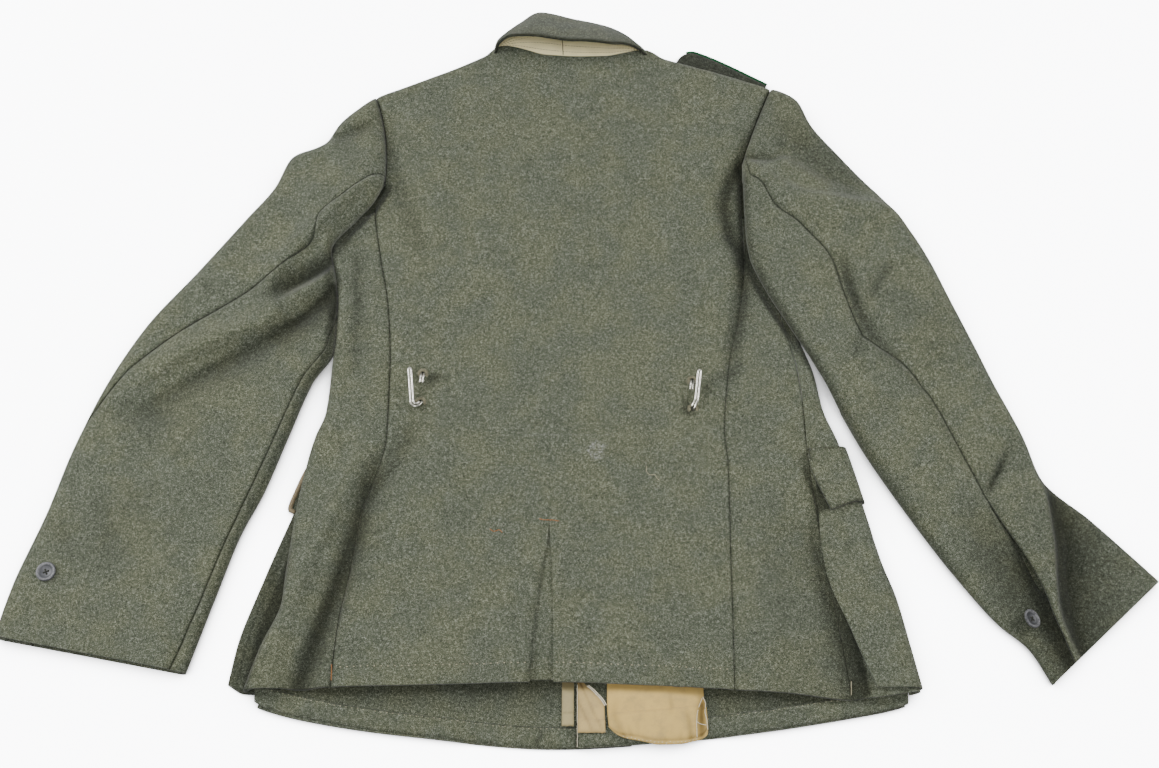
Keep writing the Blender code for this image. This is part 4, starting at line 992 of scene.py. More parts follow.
    def strap_depth(self, x: float, y: float) -> float:
        """Give how deep a place lies inside the strap's outline."""
        run = (self.strap_end - self.strap_start).normalized()
        offset = Vector((x, y)) - self.strap_start
        length = (self.strap_end - self.strap_start).length
        along, across = offset.dot(run), offset.dot(Vector((run.y, -run.x)))
        return min(along, length - along, across, self.strap_width - across)

    def floor(self, x: float, y: float) -> float:
        """Give the height of the fronts' lower face."""
        pocket_y = smoothstep((-94.0 - y) / 20.0)
        left = pocket_y * smoothstep((-90.0 - x) / 20.0)
        right = pocket_y * smoothstep((x - 120.0) / 20.0) * (1.0 + smoothstep((y + 213.0) / 20.0))
        strap = smoothstep((self.strap_depth(x, y) + 50.0) / 22.0) if y > 200.0 else 0.0
        return 2.5 * max(left, right) + (self.strap_wall + self.seam) * strap

    def plain_height(self, x: float, y: float) -> float:
        """Give the height of the upper face without its finest relief."""
        middle = 0.5 * (self.fold_left(min(y, 120.0)) + self.fold_right(min(y, 120.0)))
        share = min(1.0, abs(x - middle) / 225.0)
        free = mix(self.rise_middle(y), self.rise_side(y), share * share) + relief(self.folds, x, y)
        free = mix(free, self.pressed, self.pressing(x, y))
        return max(free, self.floor(x, y) + 2.0 * self.wool + 1.2)

    def height(self, x: float, y: float) -> float:
        """Give the height of the upper face."""
        fine = relief(self.fine_folds, x, y) + unevenness(x, y, 1.5)
        return self.plain_height(x, y) + fine * (1.0 - 0.85 * self.pressing(x, y))

    def darkness(self, x: float, y: float) -> float:
        """Give the painted shade at a place: in the creases, and where the sleeves lie against the body."""
        return min(0.95, relief(self.shades, x, y) + 0.55 * self.pressing(x, y))

    def side_point(self, side: int, turn: float, y: float) -> Vector:
        """Give a point round a side fold: 0 to 1 out from the seam, to 2 round, to 3 back in."""
        fold = self.fold_left(y) if side < 0 else self.fold_right(y)
        seam = self.left_edge(min(y, 146.0)) - self.seam if side < 0 else self.front_seam(y) + self.seam
        top = self.height(fold - side * self.fold_radius, y)
        floor = self.floor(fold - side * self.fold_radius, y)
        half = 0.5 * (top - floor)
        radius = min(self.fold_radius, half * half / (self.wool + 0.8))
        centre = fold - side * radius
        if turn <= 1.0:
            x = mix(seam, centre, turn)
            return Vector((x, y, mix(self.height(x, y), top, smoothstep((turn - 0.5) * 2.0))))
        if turn <= 2.0:
            angle = (turn - 1.0) * math.pi
            return Vector((centre + side * radius * math.sin(angle), y,
                           floor + half + half * math.cos(angle)))
        return Vector((mix(centre, fold - side * 16.0, turn - 2.0), y, floor))

    def normal(self, x: float, y: float) -> Vector:
        """Give the upward normal of the upper face."""
        slope_x = self.height(x + 1.0, y) - self.height(x - 1.0, y)
        slope_y = self.height(x, y + 1.0) - self.height(x, y - 1.0)
        return Vector((-0.5 * slope_x, -0.5 * slope_y, 1.0)).normalized()

    def shoulder(self, x: float, top: float, angle: float, height: float, floor: float) -> Pair:
        """Give the y and the drop of the shoulder's roll at an angle from flat."""
        share = max(smoothstep((-90.0 - x) / 10.0), smoothstep((x - 78.0) / 10.0))
        gap = self.seam + 0.9 * smoothstep((x - 50.0) / 20.0) * smoothstep((125.0 - x) / 15.0)
        half = 0.5 * (height - floor - gap)
        reach = min(9.0, half * half / (self.wool + 0.8))
        return top - reach * (1.0 - math.sin(angle)), half * (1.0 - math.cos(angle)) * share


# ---- the sleeves' form

@dataclass(frozen=True)
class Station:
    """One section of a sleeve, from its outer to its inner edge in plan."""

    outer_x: float
    outer_y: float
    inner_x: float
    inner_y: float
    bow: float
    top: float
    mid: float
    edge_out: float
    edge_in: float
    elbow: float
    forearm: float
    lap: float = 0.0


@dataclass
class SleeveForm:
    """A flattened tube of cloth through sections from its armhole to its cuff."""

    rows: tuple[Station, ...]
    folds: Reliefs
    fine_folds: Reliefs
    side: int
    seed: float
    arc: float = 0.2
    head: float = 0.42
    rest_height: float = 8.5
    body: BodyForm | None = None
    shades: Reliefs = ()

    def __post_init__(self) -> None:
        """Turn the sections into curves."""
        places = list(range(len(self.rows)))
        names = Station.__dataclass_fields__
        self.at = {name: lru_cache(None)(Curve(places, [getattr(row, name) for row in self.rows]))
                   for name in names}

    def armhole(self, y: float) -> float:
        """Give the x of the armhole at a height."""
        first = self.rows[0]
        share = (y - first.outer_y) / (first.inner_y - first.outer_y)
        return mix(first.outer_x, first.inner_x, share) + first.bow * 4.0 * share * (1.0 - share)

    def rest(self, x: float, y: float) -> float:
        """Give the height that the sleeve lies on: the table, or the body beneath it."""
        if y < -80.0 or y > 178.0:
            return 0.0
        past = smoothstep((y - 130.0) / 12.0)
        body = self.body
        if self.side < 0:
            edge = mix(body.fold_left(y), body.under_left(max(y, 125.0)), past)
            cover = smoothstep((x - edge + 20.0) / 14.0) * smoothstep((y - 80.0) / 12.0)
        else:
            edge = mix(body.fold_right(y), body.under_right(max(y, 125.0)), past)
            cover = smoothstep((edge + 20.0 - x) / 14.0)
        return self.rest_height * cover * smoothstep((178.0 - y) / 10.0)

    def point(self, station: float, around: float, extra: Sequence[Fold] = (), fine: bool = True) -> Vector:
        """Give a point of the sleeve's outer face.

        Args:
            station: the place along the sleeve, in sections from the armhole.
            around: 0 at the outer edge, 1 at the inner edge, on to 2 beneath.
            extra: folds of one panel alone.
            fine: whether the finest relief is added.

        Returns:
            The point in plan millimetres.
        """
        at = self.at
        around = around % 2.0
        outer = Vector((at["outer_x"](station), at["outer_y"](station)))
        inner = Vector((at["inner_x"](station), at["inner_y"](station)))
        width = (inner - outer).length
        under = around > 1.0
        around = 2.0 - around if under else around
        mid = at["mid"](station)
        out_radius = mid if under else at["edge_out"](station)
        in_radius = mid if under else at["edge_in"](station)
        roundness = 1.0
        if around < self.arc:
            angle = 0.5 * math.pi * around / self.arc
            distance, roundness = out_radius * (1.0 - math.cos(angle)), math.sin(angle)
        elif around > 1.0 - self.arc:
            angle = 0.5 * math.pi * (1.0 - around) / self.arc
            distance, roundness = width - in_radius * (1.0 - math.cos(angle)), math.sin(angle)
        else:
            share = (around - self.arc) / (1.0 - 2.0 * self.arc)
            distance = mix(out_radius, width - in_radius, share)
        share = distance / width
        flat = outer + (inner - outer) * share
        flat.x += at["bow"](station) * 4.0 * share * (1.0 - share)
        rest = self.rest(flat.x, flat.y)
        if under:
            return Vector((flat.x, flat.y, rest + mid * (1.0 - roundness)))
        top = at["top"](station) + relief(self.folds, flat.x, flat.y) + relief(extra, flat.x, flat.y)
        if fine:
            top += relief(self.fine_folds, flat.x, flat.y) + unevenness(flat.x, flat.y, self.seed, 1.3)
        top = max(top, rest + 2.0 * 2.4 + 1.6)
        if station < self.head:
            risen = math.sqrt(1.0 - (1.0 - station / self.head) ** 2)
            top = mix(max(self.body.height(flat.x, flat.y), rest + mid), top, risen)
        return Vector((flat.x, flat.y, mix(rest + mid, max(top, rest + mid + 1.0), roundness)))

    def normal(self, station: float, around: float, extra: Sequence[Fold] = ()) -> Vector:
        """Give the outward normal."""
        step = 0.004
        first = self.point(station + step, around, extra) - self.point(station - step, around, extra)
        second = self.point(station, around + step, extra) - self.point(station, around - step, extra)
        return first.cross(second).normalized() * -self.side

    def half_gap(self, station: float, around: float) -> float:
        """Give half a seam's gap as a share of the way round."""
        step = 0.002
        reach = (self.point(station, around + step, (), False)
                 - self.point(station, around - step, (), False)).length
        return 0.35 * step / reach

    def find(self, x: float, y: float, extra: Sequence[Fold] = ()) -> Pair:
        """Find the station and the way round of a place on the upper face."""
        target = Vector((x, y))
        best = (1e9, 0.0, 0.0)
        for s in range(int(10 * (len(self.rows) - 1)) + 1):
            for a in range(2, 49):
                away = (self.point(s * 0.1, a * 0.02, extra, False).xy - target).length
                best = min(best, (away, s * 0.1, a * 0.02))
        return best[1], best[2]


LEFT_ROWS = tuple(Station(*row) for row in table("""
-211.5 276 -197 167 6 23 9 12 13 .82 1.3, -246 242 -206.5 146 4 25 8 14 14 .71 1.28,
-260 216 -223 124 2 27 8 14 14 .68 1.25, -292 200 -244.5 92 0 26 8 14 14 .67 1.18,
-308 165 -238.6 60 0 22 8 15 9 .59 1.08, -334 129 -235.2 26 0 20 8 16 10 .49 .97,
-375 71 -235.8 -14 0 19 8 16 11 .38 .84, -421 8 -255 -50 0 18 7.5 16 12 .27 .83,
-454 -60 -273 -104 0 17 7.5 15 14 .15 .83, -475 -122 -292 -162 0 16 7.2 15 14 -.05 .82,
-490 -182 -310 -204 0 15 7 14 14 -.25 .84, -511 -250 -328 -265 0 14.5 7 13 14 -.3 .83,
-521 -299 -347 -332 0 15 7 12 18 -.3 .83"""))
RIGHT_ROWS = tuple(Station(*row) for row in table("""
199.5 286 165.5 196 -1 24 9 12 12 .86 1.3, 225 269 164.5 168 0 26 9 14 14 .83 1.3,
238 239 164.3 138 0 27 9 15 16 .71 1.3, 267 199 164.5 110 0 27 9 16 12 .64 1.3,
296 162 167 84 0 26 9 18 11 .55 1.3, 325 124 180 49 0 25 9 18 11 .52 1.3, 345 84 199 13 0 24 8.5 18 11 .56 1.3,
362 38 219 -24 0 23 8.5 18 11 .585 1.3, 380 -10 240 -66 0 21 8 17 12 .48 1.3,
395 -52 264 -118 0 20 8 16 13 .45 1.3, 417 -108 303 -186 0 18 7.5 15 14 .475 1.3,
429 -149 340 -243 0 15 7 14 14 .485 1.3, 468 -187 374 -287 0 12 5.8 11 12 .575 1.3,
500 -221 399 -310 0 11.5 5.6 9 9 .68 1.3 .1, 524 -247 416 -342 0 11.5 5.6 9 9 .72 1.3 .12"""))
LEFT_FOLDS = reliefs("""
-203 180 0, -214 165 5, -230 146 8, -250 122 9, -270 98 9.5, -288 74 9, -299 54 7, -300 38 6, -293 22 5, -286 8
2: 8 15 |
-280 16 0, -300 8 6, -325 0 9, -355 -14 9, -385 -30 8, -410 -48 6, -432 -66 2.5, -446 -80 0: 9 17 |
-238 90 -4, -246 78 -8, -256 69 -9, -269 61 -9, -282 53 -7, -294 44 -3: 10 9 |
-240 70 1, -252 55 4, -268 43 5, -286 32 3, -300 20 0: 6 7 |
-236 52 -4, -251 38 -8, -262 28 -9, -275 16 -9, -290 5 -9, -305 -8 -8, -335 -28 -7, -370 -50 -6, -404 -74 -3,
-430 -92 0: 18 6 |
-256 214 0, -240 222 -3.5, -222 232 -4, -206 243 -1.5: 5 9 |
-204 198 1, -235 178 3, -262 152 3, -282 128 0: 9 9""")
RIGHT_FOLDS = reliefs("""
192 232 0, 206 210 -5, 228 193 -8, 250 178 -8, 272 165 -5, 292 156 0: 24 12 |
166 199 -1, 176 195 -5, 190 194 -5, 205 200 -3, 218 208 0: 6 6 |
168 188 2, 184 171 5, 200 157 5, 222 147 6, 255 140 8, 290 134 8, 312 129 5, 326 122 0: 9 20 |
258 84 0, 262 62 -3.5, 267 38 -5, 274 14 -5, 287 -5 -3, 303 -26 -1.5, 322 -58 0: 7 6 |
374 -168 -1, 381 -155 -5, 390 -140 -5.5, 398 -125 -4, 406 -108 0: 5 6 |
350 -156 0, 364 -190 -3, 377 -226 -4, 388 -262 -4, 396 -302 -3: 13 24""")
LEFT_FINE = reliefs("""
-456 -84 -1, -425 -86 -3, -395 -84 -3, -365 -92 -1.8, -338 -112 0: 12 14 |
-480 -182 -1, -466 -205 -3, -452 -232 -2, -444 -254 0: 7 9 |
-442 -162 0, -432 -195 -2.4, -424 -235 -2.4, -418 -264 0: 8 10 |
-402 -128 0, -386 -190 1.8, -373 -250 1.8, -365 -296 0: 18 18 |
-396 -92 -1, -392 -120 -2, -396 -152 0: 8 8 |
-336 124 -.5, -330 100 -2.4, -321 66 0: 10 10 |
-278 196 0, -262 186 -2, -240 190 0: 8 8 |
-300 -70 0, -318 -110 -1.6, -330 -160 -1.6, -340 -200 0: 14 12 |
-500 -262 0, -470 -276 -1.8, -430 -284 0: 9 9 |
-352 -292 0, -354 -312 -2.5, -352 -330 -2.5: 9 9""")
RIGHT_FINE = reliefs("""
281 24 0, 285 44 -3.4, 295 59 -3.4, 307 73 -2, 316 86 0: 6 6 |
261 -38 0, 266 -18 -3, 272 -2 -2.4, 277 8 0: 6 6 |
316 70 0, 330 30 2.2, 345 -10 2.6, 353 -42 0: 9 12 |
342 -16 0, 334 -40 -2.4, 326 -58 -2.2, 319 -72 0: 6 8 |
266 -96 0, 290 -90 -2.4, 315 -95 -2.4, 332 -112 0: 14 14 |
262 -118 0, 273 -140 -2.8, 290 -166 -2.8, 302 -184 0: 10 10 |
214 90 0, 222 50 -1.6, 232 10 -1.6, 238 -14 0: 16 18 |
176 130 -3, 184 116 -3, 190 92 0: 9 12 |
376 -291 -1, 388 -294 -2, 399 -296 -1: 5 6 |
210 258 0, 213 240 -2.4, 208 218 -1.5: 7 8""")
# The shade tables below are painted shade, not height: each crease's rise is how dark the cloth is painted in a
# fold's shadow, from 0 to 1.
BODY_SHADES = reliefs("""
-188 -112 0, -198 -158 .65, -206 -200 .85, -218 -245 .9, -230 -285 .9, -246 -340 .85: 15 7 |
-262 -205 0, -267 -245 .75, -278 -285 .85, -288 -320 .85, -294 -346 .7: 5 9 |
-150 -78 0, -160 -106 .3, -174 -134 .38, -186 -152 .3: 10 12 |
-196 264 0, -189 210 .22, -177 160 .3, -160 115 .28, -146 82 0: 6 11 |
-222 116 0, -217 60 .34, -214 0 .3, -212 -60 0: 7 9 |
182 250 0, 170 212 .5, 152 172 .72, 146 142 .78, 150 112 .75, 160 88 .7, 161 52 .7, 153 8 .6, 146 -30 .35, 141
-60 0: 8 8 |
214 -178 0, 220 -210 .4, 229 -238 .7, 237 -276 .85, 242 -312 .85, 246 -346 .8: 5 20 |
207 -128 .2, 211 -146 .75, 217 -170 .9, 220 -190 .9, 223 -210 .9, 231 -239 .9, 240 -276 .8, 246 -313 .7, 251
-347 .7: 3.5 2.6 |
172 -150 0, 180 -229 .12, 190 -340 .12: 20 20 |
-137 -40 0, -139 -45 .45, -143 -53 .3, -150 -62 .3, -158 -80 0: 6 5 |
101 -62 0, 100.5 -70 .5, 101.5 -78 .75, 105 -82 .6, 112 -83 0: 3.5 4 |
120 -46 0, 119 -56 .3, 116 -70 0: 9 3 |
-30 -212 0, -33 -250 .5, -38 -300 .6, -42 -340 .6: 4 5 |
-150 -40 .3, -136 -42 .35, -120 -44 0: 5 6 |
146 -40 .3, 134 -44 .3, 122 -48 0: 5 5""")
LEFT_SHADES = reliefs("""
-240 84 .95, -246 77 .95, -256 69 .95, -269 61 .9, -282 53 .8, -292 46 .65, -303 35 .3, -310 26 0: 9 10 |
-236 53 .9, -251 39 .95, -261 29 .95, -275 17 .9, -289 6 .8, -305 -6 .6, -335 -26 .6, -370 -48 .5, -404 -72 .35,
-430 -92 0: 22 3.2 |
-256 216 0, -240 222 .42, -222 232 .48, -206 243 .2: 5 10 |
-245 62 .5, -239 26 .7, -240 -14 .6, -257 -52 .45, -275 -106 .35, -312 -206 .3, -347 -330 .3: 5 5 |
-482 -186 0, -468 -206 .25, -454 -232 0: 6 8 |
-442 -165 0, -430 -205 .16, -420 -255 0: 9 9 |
-404 -140 0, -420 -190 .14, -438 -250 0: 32 32 |
-456 -84 0, -425 -90 .2, -390 -90 .16, -350 -112 0: 14 18""")
RIGHT_SHADES = reliefs("""
198 240 .15, 222 208 .4, 246 184 .4, 272 168 .34, 292 157 0: 30 18 |
290 70 0, 337 2 .14, 362 -56 0: 26 26 |
166 199 .6, 178 195 .6, 192 194 .5, 207 201 0: 4 4 |
256 88 0, 261 64 .7, 268 34 .8, 278 4 .7, 296 -22 .4, 322 -62 .22, 350 -116 .2, 366 -170 0: 5 7 |
282 26 0, 288 46 .42, 298 62 .4, 312 80 0: 6 5 |
260 -38 0, 266 -18 .4, 274 2 0: 5 5 |
374 -168 .2, 381 -155 .8, 389 -141 .8, 397 -127 .4, 405 -112 0: 3.2 3.2 |
348 -160 0, 364 -200 .28, 378 -240 .36, 390 -280 .36, 398 -306 .2: 13 22 |
165 170 .4, 166 110 .4, 180 51 .5, 199 14 .6, 219 -23 .6, 240 -65 .5, 264 -117 .4, 303 -185 .35, 340 -242 .3: 4
4""")
VENT_FLAP_SHADES = reliefs("""
427 -149 .2, 432 -176 .5, 433 -215 .6, 431 -250 .62, 431 -272 .62, 436 -300 .6, 446 -320 .4: 34 3 |
428 -152 .3, 432 -176 .38, 433 -215 .38, 431 -250 .4, 431 -272 .4, 436 -300 .4, 446 -320 .3: 10 2.6 |
440 -160 .1, 455 -200 .3, 468 -245 .34, 478 -300 .3: 50 50""")
VENT_UNDER_SHADES = reliefs("""
388 -192 .3, 405 -232 .8, 419 -275 .9, 432 -320 .85: 10 20""")
VENT_FLAP = reliefs("""
419 -144 0, 425 -160 6, 426 -190 9, 427 -216 10, 425 -245 10, 424 -270 10, 429 -300 9, 438 -328 7: 5 32 |
437 -160 0, 444 -185 -3, 446 -215 -4.5, 443 -250 -5, 443 -285 -4.5, 452 -316 -2: 16 6""")
VENT_UNDER = reliefs("""
392 -222 452 -322 -3.8 30 22""")


@dataclass
class Tunic:
    """The forms that every piece of the garment is made over."""

    body: BodyForm = field(default_factory=lambda: BodyForm(shades=BODY_SHADES))
    left: SleeveForm = field(default_factory=lambda: SleeveForm(
        LEFT_ROWS, LEFT_FOLDS, LEFT_FINE, -1, 11.0, shades=LEFT_SHADES))
    right: SleeveForm = field(default_factory=lambda: SleeveForm(
        RIGHT_ROWS, RIGHT_FOLDS, RIGHT_FINE, 1, 23.0, shades=RIGHT_SHADES))

    def __post_init__(self) -> None:
        """Join body and sleeves."""
        self.body.join_sleeves(self.left, self.right)
        self.left.body = self.body
        self.right.body = self.body


# ---- the back

@dataclass
class Back:
    """The back with its vent, the vent's underlap, the darts and the hem's stitching."""

    form: BodyForm
    cell: float = 3.1
    hem_depth: float = 17.0

    def surface(self, left: bool) -> Surface:
        """Give the surface of one half: across from its left edge, along from hem to shoulder."""
        form = self.form
        top_left, top_right = form.left_edge(276.0), form.right_edge(285.5)
        centre = form.vent_left(330.0)

        @lru_cache(None)
        def column(across: float) -> tuple[float, float, float, float, float]:
            """Give a column's hem, shoulder and roll."""
            if left:
                bottom = mix(form.back_left(-345.0), form.vent_left(-341.0), across)
                top_x = mix(top_left, centre, across)
            else:
                bottom = mix(form.vent_right(-341.0), form.back_right(-350.0), across)
                top_x = mix(centre, top_right, across)
            top = form.back_top(top_x)
            floor = form.floor(top_x, top - 9.0)
            height = form.height(top_x, top - 9.0)
            return form.back_hem(bottom), top_x, top, floor, height

        def point(across: float, along: float) -> Vector:
            """Give a point: along is 0 to 1 up to the vent's top, to 2 up to the roll, to 3 round it."""
            hem, top_x, top, floor, height = column(across)
            start, _ = form.shoulder(top_x, top, 0.0, height, floor)
            drop = 0.0
            if along <= 1.0:
                y = mix(hem, form.vent_top, along)
            elif along <= 2.0:
                y = mix(form.vent_top, start, along - 1.0)
            else:
                y, drop = form.shoulder(top_x, top, (along - 2.0) * math.pi / 2.0, height, floor)
            if left:
                x = mix(form.left_edge(y), form.vent_left(y), across)
                edge = x - form.left_edge(y)
                slit = form.vent_left(y) - x
            else:
                x = mix(form.vent_right(y), form.right_edge(y), across)
                edge = form.right_edge(y) - x
                slit = x - form.vent_right(y)
            if along > 2.0:
                return Vector((x, y, height - drop + seam_dip(edge, 0.8)))
            z = form.height(x, y) + seam_dip(edge, 0.8)
            if y < form.vent_top + 20.0:
                z += seam_dip(slit, 0.5) * smoothstep((form.vent_top - y) / 30.0)
                z -= 0.5 * bell(y - hem - self.hem_depth, 1.6)
                z += seam_dip(y - hem, 0.35)
            neck = smoothstep((x + 92.0) / 12.0) * smoothstep((80.0 - x) / 12.0)
            z += seam_dip(top - y, 1.1) * neck * 0.8
            return Vector((x, y, z))

        return point

    def ply(self, across: float, along: float) -> float:
        """Give the wall as a share of its thickest, which is at the turned hem."""
        return 1.0 if along < 0.125 else 0.5455

    def shade_of(self, surface: Surface, left: bool) -> Shading:
        """Give the painted shade of one half: in its creases, and a dark line along its outer seam."""
        def shade(across: float, along: float) -> float:
            """Give the painted shade at a point."""
            place = surface(across, along)
            edge = place.x - self.form.left_edge(place.y) if left else self.form.right_edge(place.y) - place.x
            return max(self.form.darkness(place.x, place.y), 0.5 * bell(edge, 0.9))

        return shade

    def build(self) -> list[Piece]:
        """Make the back and what is sewn on it.

        Returns:
            The pieces.
        """
        form = self.form
        rows = [0.0, 0.006, 0.014, 0.026] + spread(0.04, 0.12, 3) + spread(0.128, 1.0, 29)
        rows += [1.0 + share for share in spread(0.0, 1.0, 168)[1:]]
        rows += [2.0 + share for share in (0.2, 0.4, 0.6, 0.8, 1.0)]
        patches = []
        for left, width in ((True, 190.0), (False, 175.0)):
            surface = self.surface(left)
            patches.append(Patch(knots(width, self.cell), rows, surface, None, self.ply,
                                 self.shade_of(surface, left)))
        pieces = [Panel("back_panel", patches, Cloth.BACK, ("back",)).build()]
        pieces.append(self.underlap())
        pieces += self.sewing()
        return pieces

    def underlap(self) -> Piece:
        """Make the cloth that hangs behind the open vent."""
        form = self.form

        def point(across: float, along: float) -> Vector:
            """Give a point of the underlap's upper face."""
            y = mix(form.back_hem(-30.0) + 2.5, form.vent_top + 14.0, along)
            x = mix(form.vent_left(y) - 15.0, form.vent_right(y) + 15.0, across)
            ply = 2.0 * smoothstep((form.back_hem(x) + 30.0 - y) / 6.0)
            return Vector((x, y, form.height(x, y) - 2.8 - ply))

        patch = Patch(spread(0.0, 1.0, 12), spread(0.0, 1.0, 34), point)
        return Panel("vent_underlap", [patch], Cloth.SHADED, ("back_vent_underlap",)).build()

    def on_back(self, points: Sequence[Pair], step: float = 4.0) -> list[tuple[Vector, Vector]]:
        """Lay a line of plan points on the back, with its normals."""
        path = []
        for (x0, y0), (x1, y1) in zip(points, points[1:]):
            count = max(1, round(math.hypot(x1 - x0, y1 - y0) / step))
            for share in spread(0.0, 1.0, count):
                x, y = mix(x0, x1, share), mix(y0, y1, share)
                path.append((Vector((x, y, self.form.height(x, y))), self.form.normal(x, y)))
        return path

    def sewing(self) -> list[Piece]:
        """Sew the hem, the darts and the tack at the top of the vent."""
        form = self.form
        hem = [(x, form.back_hem(x) + self.hem_depth) for x in spread(-210.0, -44.0, 22)]
        pieces = [stitches("hem_stitches_left", self.on_back(hem), Cloth.PALE, 6.0, 1.9, 0.5, 0.2, 0.5)]
        hem = [(x, form.back_hem(x) + self.hem_depth) for x in spread(-20.0, 134.0, 22)]
        pieces.append(stitches("hem_stitches_right", self.on_back(hem), Cloth.PALE, 6.0, 1.9, 0.5, 0.2, 0.5))
        for name, line in (("dart_left", [(-98, 14), (-103, -59), (-116, -138)]),
                           ("dart_right", [(64, 17), (64.5, -133)])):
            pieces.append(stitches(name, self.on_back(line), Cloth.DUSK, 2.6, 2.0, 0.35, -0.55, 0.1))
        tack = [(-36, -189), (-19, -191)]
        pieces.append(stitches("vent_tack", self.on_back(tack, 2.0), Cloth.RUST, 1.5, 3.2, 0.35, 0.25, 1.2))
        return pieces


# ---- side panels and fronts

@dataclass
class Sides:
    """The side panels: the left one goes round its fold, the right one lies whole on top."""

    form: BodyForm
    cell: float = 3.8
    tops: Triple = (139.0, 132.0, 125.0)

    def left_point(self, turn: float, along: float) -> Vector:
        """Give a point of the left panel."""
        form = self.form
        hem = form.back_hem(form.side_point(-1, turn, -345.0).x)
        top = mix(self.tops[0], self.tops[1], min(1.0, turn * 2.0))
        top = mix(top, self.tops[2], min(1.0, max(0.0, turn * 2.0 - 1.0)))
        y = mix(hem, top, along)
        point = form.side_point(-1, turn, y)
        if turn < 1.0:
            point.z += seam_dip(abs(form.left_edge(min(y, 146.0)) - point.x)) * (1.0 - form.pressing(point.x, y))
        if turn < 1.6:
            point.z += seam_dip(y - hem, 0.3) - 0.5 * bell(y - hem - 17.0, 1.6)
        return point

    def right_point(self, across: float, along: float) -> Vector:
        """Give a point of the right panel."""
        form = self.form
        hem = form.back_hem(mix(form.back_right(-350.0), form.front_seam(-354.0), across))
        y = mix(hem, 125.0, along)
        left, right = form.back_right(y) + form.seam, form.front_seam(y)
        x = mix(left, right, across)
        free = 1.0 - form.pressing(x, y)
        z = form.height(x, y) + (seam_dip(x - left, 0.8) + seam_dip(right - x, 0.35)) * free
        z += seam_dip(y - hem, 0.3) - 0.5 * bell(y - hem - 17.0, 1.6)
        return Vector((x, y, z))

    def build(self) -> list[Piece]:
        """Make both panels."""
        rows = [0.0, 0.0015, 0.004, 0.008] + spread(0.013, 1.0, 104)
        turns = [0.0, 0.015, 0.04, 0.08] + spread(0.14, 1.0, 14) + spread(1.0, 2.0, 12)[1:] + [2.5, 3.0]
        # The panels are painted darker in the creases and all over the left fold's underside (painted shade), and
        # along their seams.
        left = Patch(turns, rows, self.left_point, None, lambda a, b: 1.0 if b < 0.037 and a < 1.5 else 0.5455,
                     lambda a, b: self.form.darkness(*self.left_point(a, b).xy) if a < 1.6 else 0.6, 0.4)
        right = Patch(knots(80.0, self.cell), rows, self.right_point, None,
                      lambda a, b: 1.0 if b < 0.037 else 0.5455,
                      lambda a, b: self.form.darkness(*self.right_point(a, b).xy), 0.35)
        return [Panel("side_panel_left", [left], Cloth.WOOL, ("side_left",), facing=-1.0).build(),
                Panel("side_panel_right", [right], Cloth.WOOL, ("side_right",)).build()]


